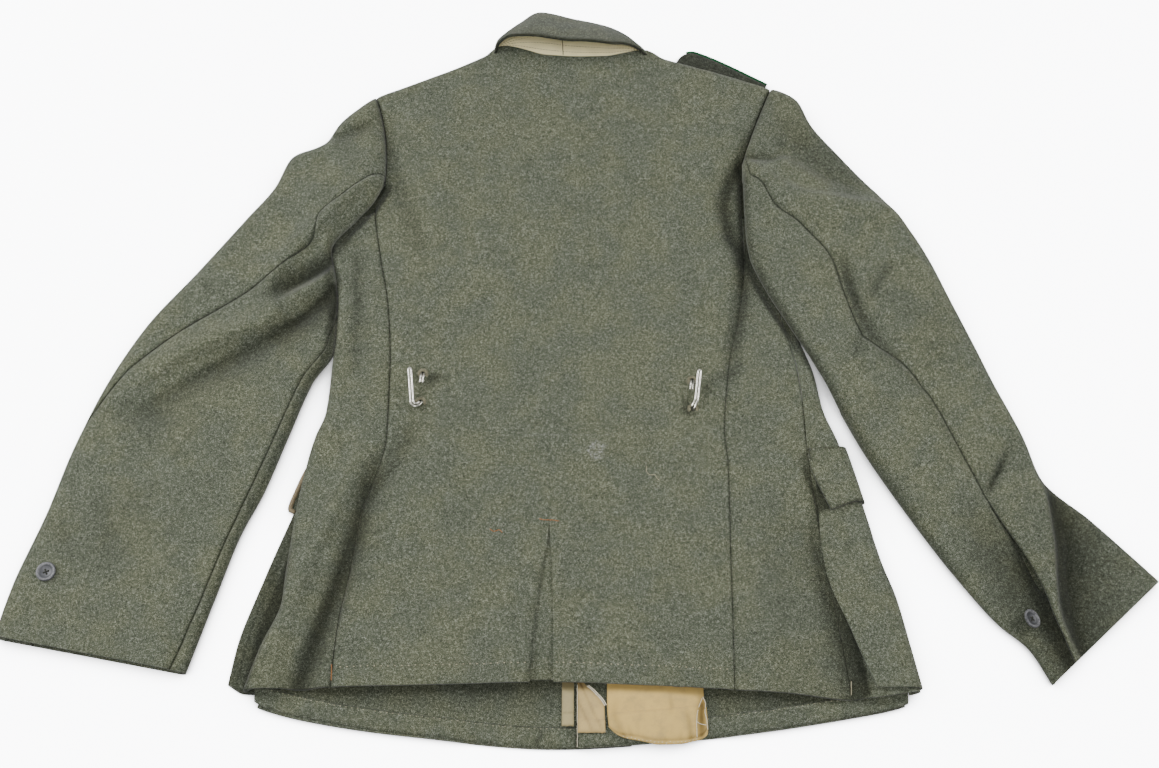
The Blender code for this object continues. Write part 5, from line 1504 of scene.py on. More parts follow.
@dataclass
class Fronts:
    """The fronts, flat on their outer faces, with their turned hems inside."""

    form: BodyForm
    closures: Pair = (45.0, -1.0)
    turn_depth: float = 19.0

    def lap(self, side: int, x: float, y: float) -> float:
        """Give the height of a front's lower face."""
        if side < 0:
            return self.form.floor(x, y)
        lap = 2.7 + 2.0 * smoothstep((self.form.front_hem(x) + 21.0 - y) / 3.0)
        return self.form.floor(x, y) + lap * smoothstep((112.0 - x) / 40.0)

    def side_x(self, side: int, y: float) -> float:
        """Give the x where a front's flat part ends at its side."""
        form = self.form
        if side < 0:
            if y > 167.0:
                return form.left_edge(y)
            return form.under_left(y) if y > 125.0 else form.fold_left(y) + 16.3
        if y > 167.0:
            return form.right_edge(y)
        return form.under_right(y) if y > 125.0 else form.fold_right(y) - 16.0

    def flat_surface(self, side: int) -> Surface:
        """Give the flat part's outer face: across from its side to the closure, along to 3."""
        form = self.form
        closure = self.closures[0 if side < 0 else 1]
        bottom_side = -277.0 if side < 0 else 283.5

        @lru_cache(None)
        def column(across: float) -> tuple[float, float, float, float, float]:
            """Give a column's hem, top, and the roll at its shoulder."""
            hem = form.front_hem(mix(bottom_side, closure, across))
            top_x = mix(form.left_edge(276.0) if side < 0 else form.right_edge(285.5), closure, across)
            top = form.front_top(top_x)
            floor = self.lap(side, top_x, top - 9.0)
            return hem, top_x, top, floor, form.height(top_x, form.back_top(top_x) - 9.0)

        def point(across: float, along: float) -> Vector:
            """Give a point: along is 0 to 1 up to the underarm, to 2 up to the roll, to 3 round it."""
            hem, top_x, top, floor, height = column(across)
            start, _ = form.shoulder(top_x, top, 0.0, height, floor)
            if along <= 1.0:
                y = mix(hem, 125.0, along)
            elif along <= 2.0:
                y = mix(125.0, start, along - 1.0)
            else:
                y, rise = form.shoulder(top_x, top, (along - 2.0) * math.pi / 2.0, height, floor)
                return Vector((mix(self.side_x(side, y), closure, across), y, floor + rise))
            x = mix(self.side_x(side, y), closure, across)
            return Vector((x, y, self.lap(side, x, y)))

        return point

    def wrap_point(self, turn: float, along: float) -> Vector:
        """Give a point of the right front where it comes round its fold to the top."""
        form = self.form
        bottom = form.back_hem(form.side_point(1, turn, -350.0).x)
        flat_hem = form.front_hem(283.5)
        y = mix(flat_hem, 125.0, along)
        y += (bottom - flat_hem) * max(0.0, (-309.0 - y) / (-309.0 - flat_hem))
        point = form.side_point(1, turn, y)
        if turn < 1.0:
            point.z += seam_dip(point.x - form.front_seam(y), 0.35) * (1.0 - form.pressing(point.x, y))
        return point

    def build(self) -> list[Piece]:
        """Make both fronts, their turned hems and the stitching."""
        rows = spread(0.0, 1.0, 100) + [1.0 + share for share in spread(0.0, 1.0, 34)[1:]]
        rows += [2.25, 2.5, 2.75, 3.0]
        flat = spread(0.0, 1.0, 60)
        left_surface = self.flat_surface(-1)

        right_surface = self.flat_surface(1)
        # Painted shade inside both fronts, and on the wrap in its creases and beside its seam.
        left = Panel("front_panel_left", [Patch(flat, rows, left_surface, shade=lambda a, b: self.inner_shade(
            -1, left_surface(a, b)))],
                     Cloth.SHADED, ("front_left",), facing=-1.0)
        wrap_rows = spread(0.0, 1.0, 100)
        turns = [0.0, 0.03, 0.08] + spread(0.12, 1.0, 24) + spread(1.0, 2.0, 12)[1:]
        right = Panel("front_panel_right", [
            Patch(flat, rows, right_surface, shade=lambda a, b: self.inner_shade(1, right_surface(a, b))),
            Patch(turns, wrap_rows, self.wrap_point, None, None,
                  lambda a, b: max(self.form.darkness(*self.wrap_point(a, b).xy), 0.3 - 12.0 * a))],
            Cloth.WOOL, ("front_right",), merge=0.6)
        pieces = [left.build(), right.build()]
        for side, name in ((-1, "left"), (1, "right")):
            pieces.append(self.turned_hem(side, name))
            pieces.append(self.hem_stitches(side, name))
        return pieces

    def inner_shade(self, side: int, place: Vector) -> float:
        """Give the painted shade inside a front: under the back's hem, and a painted shadow beside the edge that
        laps over.
        """
        hem = 0.5 * bell(max(0.0, self.form.back_hem(place.x) - 4.0 - place.y), 17.0)
        lap = 0.75 * bell(max(0.0, -1.5 - place.x), 2.2) if side < 0 else 0.0
        return max(hem * (place.y < -300.0), lap)

    def inside(self, side: int, x: float, y: float, lift: float = 0.0) -> Vector:
        """Give a point on the inner face of a front, raised by lift."""
        return Vector((x, y, self.lap(side, x, y) + 2.4 + lift))

    def turned_hem(self, side: int, name: str) -> Piece:
        """Make the ply of a front's hem that is turned inside."""
        form = self.form
        start, end = (-285.0, 43.0) if side < 0 else (0.5, 288.0)

        def point(across: float, along: float) -> Vector:
            """Give a point of the ply's upper face."""
            x = mix(start, end, across)
            wave = 0.8 * ripple(x / 17.0, 4.0, side)
            y = form.front_hem(x) + mix(0.6, self.turn_depth + wave, along)
            puff = 0.5 * ripple(x / 12.0, along * 2.0, 9.0 + side)
            edge = -1.0 * bell((1.0 - along) * self.turn_depth, 1.4)
            edge -= 1.6 * bell(along * self.turn_depth, 1.3)
            return self.inside(side, x, y, 2.05 + puff * along + edge)

        def shade(across: float, along: float) -> float:
            """Give the painted shade in the notch, beside the closure and along the turned edge."""
            x = point(across, along).x
            notch = 0.6 * bell(x + 35.0 + 2.0 * math.sin(7.0 * along), 1.6)
            lap = 0.8 * bell(max(0.0, -1.5 - x), 2.4) if side < 0 else 0.0
            return max(notch * (side < 0), lap, 0.7 * smoothstep((along - 0.9) / 0.1))

        patch = Patch(spread(0.0, 1.0, 150), [0.0, 0.05, 0.12] + spread(0.2, 0.9, 6) + [0.95, 1.0], point,
                      shade=shade)
        return Panel("hem_turn_" + name, [patch], Cloth.SHADED, wall=1.8, rounding=0.5).build()

    def hem_stitches(self, side: int, name: str) -> Piece:
        """Sew the small catch stitches along the turned hem's edge."""
        path = []
        start, end = (-270.0, 0.0) if side < 0 else (4.0, 280.0)
        for x in spread(start, end, 60):
            y = self.form.front_hem(x) + self.turn_depth - 1.8
            path.append((self.inside(side, x, y, 1.7), UP))
        return stitches("hem_catch_" + name, path, Cloth.PALE, 5.2, 1.5, 0.3, 0.25, 0.9)


# ---- sleeves

@dataclass
class SleevePair:
    """Both sleeves, each of a top sleeve and an under sleeve."""

    tunic: Tunic
    columns_top: int = 84
    columns_under: int = 60
    row_cell: float = 3.0

    def stations(self, sleeve: SleeveForm) -> list[float]:
        """Give the rows along a sleeve, about a cell apart and closer by both ends."""
        rows = [0.0, 0.03, 0.07, 0.13, 0.2, 0.3]
        for start in range(len(sleeve.rows) - 1):
            first, last = sleeve.rows[start], sleeve.rows[start + 1]
            run = math.hypot(last.outer_x - first.outer_x, last.outer_y - first.outer_y)
            run = max(run, math.hypot(last.inner_x - first.inner_x, last.inner_y - first.inner_y))
            count = max(4, round(run / self.row_cell))
            rows += [start + share for share in spread(0.0, 1.0, count)[:-1] if start + share > 0.36]
        end = float(len(sleeve.rows) - 1)
        return [row for row in rows if row < end - 0.07] + [end - 0.05, end - 0.02, end]

    def panel(self, name: str, node: str, sleeve: SleeveForm, start: Callable[[float], float],
              end: Callable[[float], float], count: int, extra: Sequence[Fold] = (),
              shades: Sequence[Crease] = ()) -> Piece:
        """Make the part of a sleeve between two seams.

        Args:
            name: the piece's name.
            node: the solid that it stands for.
            sleeve: the sleeve's form.
            start: the first seam's way round at a station.
            end: the last seam's way round at a station.
            count: how many columns the panel has.
            extra: folds of this panel alone.
            shades: painted shade creases of this panel alone.

        Returns:
            The piece.
        """
        @lru_cache(None)
        def seams(station: float) -> Triple:
            """Give both seams at a station, and the width between them."""
            first = start(station) + sleeve.half_gap(station, start(station))
            last = end(station) - sleeve.half_gap(station, end(station))
            at = sleeve.at
            run = math.hypot(at["outer_x"](station) - at["inner_x"](station),
                             at["outer_y"](station) - at["inner_y"](station))
            return first, last, run

        last_station = float(len(sleeve.rows) - 1)

        def point(across: float, station: float) -> Vector:
            """Give a point of the panel's outer face."""
            first, last, run = seams(station)
            around = mix(first, last, across)
            place = sleeve.point(station, around, extra)
            near = min(across, 1.0 - across) * (last - first) * run
            to_cuff = (last_station - station) * 50.0
            dip = seam_dip(near) + seam_dip(station * 45.0, 0.9) + seam_dip(to_cuff, 0.3)
            if around % 2.0 < 1.0:
                share = min(around % 1.0, 1.0 - around % 1.0)
                place.z += dip * math.sin(math.pi * min(0.5, 3.0 * share + 0.12))
                place.z -= 0.35 * bell(to_cuff - 16.0, 1.8)
            return place

        def shade(across: float, station: float) -> float:
            """Give the painted shade in creases, and at the armhole."""
            place = point(across, station)
            dark = relief(sleeve.shades, place.x, place.y) + relief(shades, place.x, place.y)
            dark = dark if mix(*seams(station)[:2], across) % 2.0 < 1.0 else 0.0
            return min(0.95, max(dark, 0.85 * bell(station, 0.035)))

        near = [0.0, 0.0025, 0.006, 0.012, 0.022, 0.035]
        columns = near + spread(0.05, 0.95, count) + [1.0 - share for share in reversed(near)]
        # The shade is painted; seamed paints a dark line along both seams.
        patch = Patch(columns, self.stations(sleeve), point, shade=shade, seamed=0.9)
        wool = Wool("sleeve_wool")
        return Panel(name, [patch], wool, (node,), facing=float(sleeve.side)).build()

    def build(self) -> list[Piece]:
        """Make the four panels."""
        left, right = self.tunic.left, self.tunic.right
        return [
            self.panel("top_sleeve_left", "sleeve_top_left", left, left.at["forearm"],
                       lambda s: 2.0 + left.at["elbow"](s), self.columns_top),
            self.panel("under_sleeve_left", "sleeve_under_left", left, left.at["elbow"],
                       left.at["forearm"], self.columns_under),
            self.panel("top_sleeve_right", "sleeve_top_right", right, right.at["forearm"],
                       lambda s: 2.0 + right.at["elbow"](s), self.columns_top, VENT_FLAP, VENT_FLAP_SHADES),
            self.panel("under_sleeve_right", "sleeve_under_right", right,
                       lambda s: right.at["elbow"](s) - right.at["lap"](s), right.at["forearm"],
                       self.columns_under, VENT_UNDER, VENT_UNDER_SHADES),
            self.allowance("left", ((-210.5, 270), (-201.5, 245), (-198.3, 221), (-196, 195), (-197, 167),
                                    (-204.5, 150), (-213, 141), (-226, 133))),
            self.allowance("right", ((197, 280), (181.5, 241), (165.5, 196), (163.8, 167), (166, 152),
                                     (172, 141), (184, 133), (196, 127)))]

    def allowance(self, name: str, line: Sequence[Pair]) -> Piece:
        """Make the seam allowance that lies inside an armhole.

        Args:
            name: the side's name.
            line: the armhole's seam in plan.

        Returns:
            The piece.
        """
        body = self.tunic.body
        middle = [Curve(list(range(len(line))), [point[axis] for point in line]) for axis in range(2)]

        def point(across: float, along: float) -> Vector:
            """Give a point of its upper face."""
            here = Vector((middle[0](along), middle[1](along)))
            ahead = Vector((middle[0](along + 0.02), middle[1](along + 0.02)))
            out = (ahead - here).normalized().orthogonal()
            flat = here + out * mix(-10.0, 10.0, across)
            return Vector((flat.x, flat.y, body.floor(flat.x, flat.y) + 4.3))

        # The allowance is painted dark all over: painted shade in the armhole's gap.
        patch = Patch(spread(0.0, 1.0, 6), spread(0.0, len(line) - 1.0, 60), point, shade=lambda a, b: 0.7)
        return Panel("armhole_turn_" + name, [patch], Cloth.SHADED, wall=1.4 / 0.55, rounding=0.3,
                     facing=-1.0).build()


# ---- collar

@dataclass
class CollarSet:
    """The stand-and-fall collar, lying open: neck seam, roll line and free edge, left to right."""

    neck: Table = table(
        "-84 339.5 12.5, -78 339 14, -68 337.5 15, -56 334 15.2, -36 328 15.2, -3 325.5 15.2, 27 326 15.2, "
        "48 330 15, 60 333 14, 70 334.5 12")
    roll: Table = table(
        "-90.7 335.5 10.5, -87 345 15, -76.4 352.9 20, -61.7 363.5 23, -40.7 375.8 24, -3.7 366.3 24, "
        "29 359.1 22, 46.9 352.4 18, 61.6 341.1 15, 72.1 332.5 11")
    edge: Table = table(
        "-89.7 328.2 16, -85.5 331.9 29, -77.2 331.9 40, -63.4 329.2 48, -40.6 325.7 51, -5.7 320.4 51, "
        "26.3 320.6 47, 47.2 327.1 36, 61.6 329.4 25, 71.3 325.5 17")
    fall_wall: float = 2.8
    stand_wall: float = 2.0

    def __post_init__(self) -> None:
        """Turn the three lines into curves."""
        self.lines = {name: [Curve(list(range(10)), [point[axis] for point in rows]) for axis in range(3)]
                      for name, rows in (("neck", self.neck), ("roll", self.roll), ("edge", self.edge))}

    def line(self, name: str, station: float) -> Vector:
        """Give a point of one of the lines."""
        return Vector([curve(station) for curve in self.lines[name]])

    def stand_share(self, station: float) -> float:
        """Give the share of the stand that is clear of the fall's wall."""
        roll = self.line("roll", station)
        back = self.line("neck", station) - roll
        angle = back.angle(self.line("edge", station) - roll)
        return max(0.3, 1.0 - (self.fall_wall + 0.8) / math.sin(angle) / back.length)

    def stand_point(self, station: float, along: float) -> Vector:
        """Give a point of the stand's shown face."""
        share = along * self.stand_share(station)
        point = self.line("neck", station).lerp(self.line("roll", station), share)
        point.z += 0.3 * ripple(point.x / 10.0, point.y / 12.0, 2.0)
        if abs(point.x + 18.0) < 4.0:
            point.z -= 0.8 * bell(point.x + 18.0, 0.9)
        return point

    def fall_point(self, station: float, along: float) -> Vector:
        """Give a point of the fall's outer face."""
        roll, edge = self.line("roll", station), self.line("edge", station)
        point = roll.lerp(edge, along)
        belly = 1.6 * math.sin(math.pi * along)
        point += Vector((0.0, 0.45, 0.9)) * belly
        point.z += 0.6 * ripple(point.x / 24.0, point.y / 20.0, 5.0)
        return point

    def build(self) -> list[Piece]:
        """Make the stand, its rows of stitches and the fall."""
        stations = spread(0.0, 9.0, 90)
        stand = Panel("collar_stand_cloth", [Patch(stations, spread(0.0, 1.0, 10), self.stand_point)],
                      Cloth.COLLAR, ("collar_stand",), wall=self.stand_wall / 0.55, rounding=0.4)
        # The fall's free edge is painted dark: painted shade under the edge.
        fall = Panel("collar_fall_cloth", [Patch(stations, [0.0, 0.03, 0.08] + spread(0.15, 0.9, 9)
                                                 + [0.95, 1.0], self.fall_point,
                                                 shade=lambda a, b: 0.75 * smoothstep((b - 0.88) / 0.12))],
                     Cloth.FALL, ("collar_fall",), wall=self.fall_wall / 0.55)
        fall.facing = -1.0
        pieces = [stand.build(), fall.build()]
        for index, share in enumerate((0.12, 0.30, 0.48, 0.66)):
            path = []
            for station in spread(0.5, 8.6, 70):
                point = self.stand_point(station, share)
                path.append((point, Vector((0.0, -0.15, 0.99)).normalized()))
            pieces.append(stitches(f"stand_stitches_{index + 1}", path, Cloth.STAND, 3.0, 2.2, 0.28, 0.05, 0.1))
        middle = min(spread(3.0, 6.0, 300), key=lambda at: abs(self.stand_point(at, 0.5).x + 18.0))
        seam = [self.stand_point(middle, share) + Vector((0, -0.1, 0.25)) for share in spread(0.03, 0.97, 12)]
        return pieces + [cord("stand_centre_seam", seam, 0.4, Cloth.DUSK)]


# ---- pockets

@dataclass
class Pockets:
    """The lower pockets and their flaps, which come round the side folds."""

    form: BodyForm
    wall: float = 2.2
    swells_below: float = -125.0      # a cloth whose top is lower than this swells at its hem

    def laid(self, turn: float, y: float, lift: float) -> Vector:
        """Give a point raised off the right front's outer face."""
        form = self.form
        point = form.side_point(1, turn, y)
        ahead, behind = form.side_point(1, min(2.0, turn + 0.02), y), form.side_point(1, turn - 0.02, y)
        upper, lower = form.side_point(1, turn, y + 1.0), form.side_point(1, turn, y - 1.0)
        return point + (ahead - behind).cross(upper - lower).normalized() * lift

    def right_point(self, edge_of: Curve, top: float, lift: float, lean: Shading) -> Surface:
        """Give the surface of a cloth on the right front, from its left edge round the fold."""
        form = self.form

        def point(across: float, along: float) -> Vector:
            """Give a point: across is 0 to 1 up to the fold's start, to 2 round, to 3 beneath."""
            y = lean(across, along)
            if top < self.swells_below:
                raised = 1.8 * smoothstep((-186.0 - y) / 14.0) * smoothstep((1.6 - across) / 0.8)
                return self.bent(edge_of, across, y, lift + raised)
            return self.bent(edge_of, across, y, lift)

        return point

    def bent(self, edge_of: Curve, across: float, y: float, lift: float) -> Vector:
        """Give a point of a cloth that is laid round the right fold.

        Args:
            edge_of: the x of the cloth's left edge over y.
            across: 0 to 1 up to the fold's start, to 2 round it, to 3 beneath.
            y: the row.
            lift: the distance from the front.

        Returns:
            The point in plan millimetres.
        """
        form = self.form
        if across <= 1.0:
            fold, seam = form.side_point(1, 1.0, y).x, form.side_point(1, 0.0, y).x
            turn = max(0.02, (mix(edge_of(y), fold, across) - seam) / (fold - seam))
            return self.laid(turn, y, lift)
        if across <= 2.0:
            return self.laid(across, y, lift)
        x = mix(form.fold_right(y) - 9.0, 185.0, across - 2.0)
        return Vector((x, y, max(0.0, form.floor(x, y) - lift)))

    def build(self) -> list[Piece]:
        """Make both pockets and both flaps."""
        edge = Curve([-350.0, -305.0, -227.0, -130.0], [260.5, 243.5, 222.5, 217.0])
        columns = [0.0, 0.02, 0.06, 0.12] + spread(0.17, 1.0, 16) + spread(1.0, 2.0, 12)[1:]
        columns += spread(2.0, 3.0, 6)[1:]
        pocket = self.right_point(edge, -128.0, 2.5, lambda a, b: mix(-347.0, -128.0, b))
        rows = [0.0, 0.004, 0.012, 0.025] + spread(0.04, 1.0, 90)

        def shade(across: float, along: float) -> float:
            """Give the painted shadow under the flap's lower edge."""
            below = self.flap_lean(across, 0.0) - mix(-347.0, -128.0, along)
            return 0.8 * bell(max(0.0, below + 1.0), 3.6) if across < 2.0 else 0.0

        pieces = [Panel("pocket_right_cloth", [Patch(columns, rows, pocket, shade=shade)], Cloth.WOOL,
                        ("pocket_right",), wall=self.wall / 0.55).build()]
        flap_edge = Curve([-183.0, -122.0], [230.0, 206.5])
        flap = self.right_point(flap_edge, -121.0, 5.0, self.flap_lean)
        flap_rows = [0.0, 0.02, 0.05, 0.1] + spread(0.16, 0.9, 12) + [0.95, 0.98, 1.0]
        # The flap's edges are painted dark: a painted outline of shade round it.
        pieces.append(Panel("pocket_flap_right_cloth",
                            [Patch(columns, flap_rows, flap, None, None, None, 0.6, 0.6)], Cloth.WOOL,
                            ("pocket_flap_right",), wall=self.wall / 0.55).build())
        pieces += self.left()
        return pieces

    def flap_lean(self, across: float, along: float) -> float:
        """Give the y of a row of the right flap, whose lower edge slopes."""
        share = min(1.0, across)
        return mix(mix(-182.5, -174.0, share), mix(-122.0, -120.0, share), along)

    def left(self) -> list[Piece]:
        """Make the left pocket and flap, which show past the fold."""
        outer = Curve([-345.0, -300.0, -238.0, -181.0], [-310.5, -304.0, -285.0, -264.5])
        bottom = Curve([-310.0, -295.0, -200.0, -100.0], [-341.0, -349.0, -352.0, -353.0])

        def pocket(across: float, along: float) -> Vector:
            """Give a point of the left pocket's upper face."""
            y = mix(-343.0, -174.0, along)
            x = mix(outer(y), -145.0, across)
            y = mix(bottom(x), -174.0, along)
            return Vector((x, y, self.wall))

        def flap(across: float, along: float) -> Vector:
            """Give a point of the left flap's upper face."""
            return Vector((mix(mix(-269.5, -250.0, along), -145.0, across), mix(-178.0, -128.0, along), self.wall))

        def shade(across: float, along: float) -> float:
            """Give the painted shade of the left pocket, which lies in shadow: darker along its stitching and
            deepest where it goes under the body.
            """
            point = pocket(across, along)
            inside = point.x - outer(point.y)
            line = 0.25 * bell(inside - 8.0, 1.4)
            return 0.34 + line + 0.5 * smoothstep((inside - 9.0) / 9.0)

        columns = [0.0, 0.006, 0.012] + spread(0.024, 0.3, 24) + spread(0.3, 1.0, 8)[1:]
        edge = [Vector((-254.5, -137, 2.6)), Vector((-258.5, -147, 3.0)), Vector((-262.6, -159, 3.2)),
                Vector((-266.4, -170, 3.0)), Vector((-267.6, -175.5, 2.4)), Vector((-263.5, -178.4, 1.8))]
        return [
            cord("pocket_flap_left_binding", rounded_path(edge), 2.2, Cloth.BINDING),
            Panel("pocket_left_cloth", [Patch(columns, spread(0.0, 1.0, 60), pocket, shade=shade)], Cloth.SHADED,
                  ("pocket_left",), wall=self.wall / 0.55).build(),
            Panel("pocket_flap_left_cloth", [Patch(columns, spread(0.0, 1.0, 12), flap)], Cloth.WOOL,
                  ("pocket_flap_left",), wall=self.wall / 0.55).build()]


# ---- strap, facings and pouch

# Painted shade in the pouch's tuck and creases: each rise is how dark the cloth is painted, from 0 to 1.
POUCH_SHADES = reliefs("""
107.8 -354 .5, 107.2 -360 .95, 106.2 -368 .95, 106 -376 .9, 106 -386 .6: 3.6 3.6 |
79 -346 0, 80 -360 .22, 78 -372 0: 2.2 2.2 |
34 -352 0, 30 -366 .2, 36 -384 .25: 3 3 |
92 -362 0, 95 -374 .3, 97 -388 .3: 2 2.5""")


@dataclass
class Trimmings:
    """The shoulder strap, the tan facings and the small pouch inside."""

    form: BodyForm
    fronts: Fronts
    pouch_left: Curve = field(default_factory=lambda: Curve(
        [-391.0, -385.0, -376.3, -358.2, -345.8, -292.0], [31.0, 27.6, 25.0, 24.0, 24.2, 24.4]))
    pouch_right: Curve = field(default_factory=lambda: Curve(
        [-391.0, -386.0, -380.0, -364.4, -350.3, -292.0], [107.5, 111.0, 111.8, 111.2, 109.0, 108.8]))
    pouch_bottom: Curve = field(default_factory=lambda: Curve(
        [24.0, 28.0, 34.2, 49.4, 66.1, 89.3, 100.8, 106.9, 111.5],
        [-380.0, -386.0, -389.7, -392.3, -395.4, -394.4, -391.8, -389.7, -383.0]))
    pouch_creases: Reliefs = POUCH_SHADES

    def strap_point(self, across: float, along: float) -> Vector:
        """Give a point of the strap's upper face; its free end is round."""
        form = self.form
        run = (form.strap_end - form.strap_start).normalized()
        inward = Vector((run.y, -run.x))
        length = (form.strap_end - form.strap_start).length
        reach = mix(-6.0, length, along)
        cut = 14.0 * (1.0 - math.sqrt(max(0.0, 1.0 - (1.0 - min(1.0, (reach + 6.0) / 14.0)) ** 2)))
        bow = 8.5 * math.sin(math.pi * min(1.0, 0.12 + 0.88 * along) ** 0.55)
        aside = mix(cut - bow, form.strap_width - cut, across)
        flat = form.strap_start + run * reach + inward * aside
        edge = min(aside - cut + bow, form.strap_width - cut - aside)
        z = form.strap_wall - 1.3 * bell(edge, 1.6)
        z -= 0.55 * bell(edge - 6.0, 0.9)
        return Vector((flat.x, flat.y, z))

    def strap(self) -> list[Piece]:
        """Make the strap and the piping along its edge."""
        form = self.form
        columns = knots(44.0, 2.5)
        rows = [0.0, 0.006, 0.016, 0.035, 0.06, 0.09] + spread(0.12, 1.0, 30)
        panel = Panel("shoulder_strap_cloth", [Patch(columns, rows, self.strap_point)], Cloth.DARK,
                      ("shoulder_strap",), wall=3.1 / 0.55)
        path = []
        for along in spread(0.05, 1.0, 30):
            point = self.strap_point(0.0, along)
            run = (form.strap_end - form.strap_start).normalized()
            out = Vector((-run.y, run.x, 0.0))
            path.append(point + out * 0.9 + Vector((0.0, 0.0, 3.2 - point.z)))
        return [panel.build(), cord("strap_piping_cord", path, 1.15, Cloth.PIPING, ("strap_piping",), 10)]

    def facings(self) -> list[Piece]:
        """Make the tan strips inside the fronts' edges, and the threads that hang from the right one."""
        cut = Curve([-385.0, -359.0, -344.0, -338.0, -250.0], [22.4, 21.6, 7.5, 3.0, 2.4])
        pieces = []
        for side, name, low, high, hem in ((-1, "left", -15.4, -4.8, -377.9), (1, "right", -1.6, 22.4, -384.8)):
            def point(across: float, along: float, side: int = side, low: float = low,
                      high: float = high, hem: float = hem) -> Vector:
                """Give a point of the strip's upper face."""
                ragged = 0.7 * ripple(across * (high - low) / 1.7, 2.0, side)
                y = mix(hem + ragged, -250.0, along)
                x = mix(low, cut(y) if side > 0 else high, across)
                lower = max(self.fronts.lap(side, x, y - back) for back in (0.0, 3.5))
                ply = 2.0 * smoothstep((self.form.front_hem(x) + 21.0 - (y - 3.5)) / 3.0)
                wave = 0.5 * ripple(x / 7.0, y / 9.0, 3.0)
                return Vector((x, y, lower + 2.4 + ply + 1.8 + wave))

            def shade(across: float, along: float, point: Surface = point, side: int = side) -> float:
                """Give the painted shade of a strip: at its pleats, along a line across the left strip, and where
                it passes under the hem.
                """
                place = point(across, along)
                dark = 0.7 * smoothstep((place.y + 349.0) / 6.0)
                if side > 0:
                    pleat = (place.x - 6.0) + 0.45 * (place.y + 372.0)
                    dark += 0.3 * bell(pleat, 1.3) + 0.25 * bell(pleat - 9.0, 1.2)
                return dark + 0.3 * bell(place.y + 365.5, 0.9) * (side < 0)

            # The shade is painted; seamed and rimmed paint a dark line along the strip's edges.
            patch = Patch(knots(high - low, 1.5, (0.5, 1.2)), [0.0, 0.006, 0.015] + spread(0.03, 1.0, 60), point,
                          None, None, shade, 0.3, 0.5)
            finish = Cloth.TAN if side > 0 else Cloth.WORN_TAN
            pieces.append(Panel("facing_cloth_" + name, [patch], finish, ("facing_" + name,),
                                wall=1.5 / 0.55, rounding=0.35).build())
            if side > 0:
                roll = [(6.6, -343.0), (10.5, -346.2), (14.8, -350.6), (18.9, -355.0), (22.2, -360.5)]
                for index, shift in enumerate((0.0, 1.3)):
                    path = [Vector((x + shift, y + shift * 0.4, self.fronts.lap(1, x, y) + 5.3)) for x, y in roll]
                    pieces.append(cord(f"facing_edge_roll_{index + 1}", rounded_path(path), 0.5, Cloth.WHITE))
                drop = [Vector((-1.9 + 0.5 * ripple(y / 3.0, 1.0, 1.0), y,
                                self.fronts.lap(1, 0.0, y) + 5.0)) for y in spread(-342.0, -397.0, 30)]
                pieces.append(cord("facing_hanging_thread", drop, 0.28, Cloth.WHITE))
        return pieces

    def pouch_at(self, x: float, y: float) -> Vector:
        """Give the point of the pouch's upper face at a place in plan."""
        low = self.pouch_bottom(x)
        hem = self.form.front_hem(x)
        held = max(y, hem + 2.0)
        lower = 0.0
        for back in (0.0, 4.0, 8.0):
            under = max(held - back, hem + 2.0)
            ply = 2.0 * smoothstep((hem + 21.0 - under) / 3.0)
            lower = max(lower, self.fronts.lap(1, x, under) + 2.4 + ply)
        lower += 0.4 - 1.6 * smoothstep((hem - 4.0 - y) / 8.0)
        side = min(abs(x - self.pouch_left(y)), abs(self.pouch_right(y) - x))
        round_x, round_y = 1.0 - math.exp(-side / 5.0), 1.0 - math.exp(-max(0.0, y - low) / 6.0)
        shown = smoothstep((self.form.back_hem(x) - 2.0 - y) / 8.0)
        fade = bell(y - low - 4.0, 8.0)
        crease = 0.9 * ripple(x / 13.0, y / 16.0, 6.0)
        crease += 1.5 * fade * ripple(x / 4.5 + y / 12.0, y / 11.0, 8.0)
        crease -= 1.0 * bell(y - low - 4.2, 1.3)
        return Vector((x, y, lower + 1.6 + (2.6 * round_x * round_y + crease * round_y) * shown))

    def pouch_shade(self, x: float, y: float) -> float:
        """Give the painted shade of the pouch at a place: under the hem, in its tuck and wrinkles, and dark lines
        along its seams.
        """
        low = self.pouch_bottom(x)
        dark = relief(self.pouch_creases, x, y) + 0.5 * smoothstep((y + 352.0) / 8.0)
        dark += 0.4 * bell(y - low - 4.2, 1.1)
        dark += 0.5 * math.exp(-abs(y - low) / 9.0) * max(0.0, ripple(x / 4.0 + y / 14.0, y / 8.0, 4.0))
        return min(0.9, dark)

    def pouch(self) -> list[Piece]:
        """Make the pouch, the pale edges of its tuck and the stitches along its seam."""
        def point(across: float, along: float) -> Vector:
            """Give a point of its upper face."""
            guess = mix(24.0, 110.0, across)
            y = mix(self.pouch_bottom(guess), -292.0, along)
            return self.pouch_at(mix(self.pouch_left(y), self.pouch_right(y), across), y)

        columns = knots(88.0, 1.9, (0.5, 1.4, 2.8))
        rows = [0.0, 0.006, 0.014] + spread(0.024, 0.55, 34) + spread(0.55, 1.0, 12)[1:]
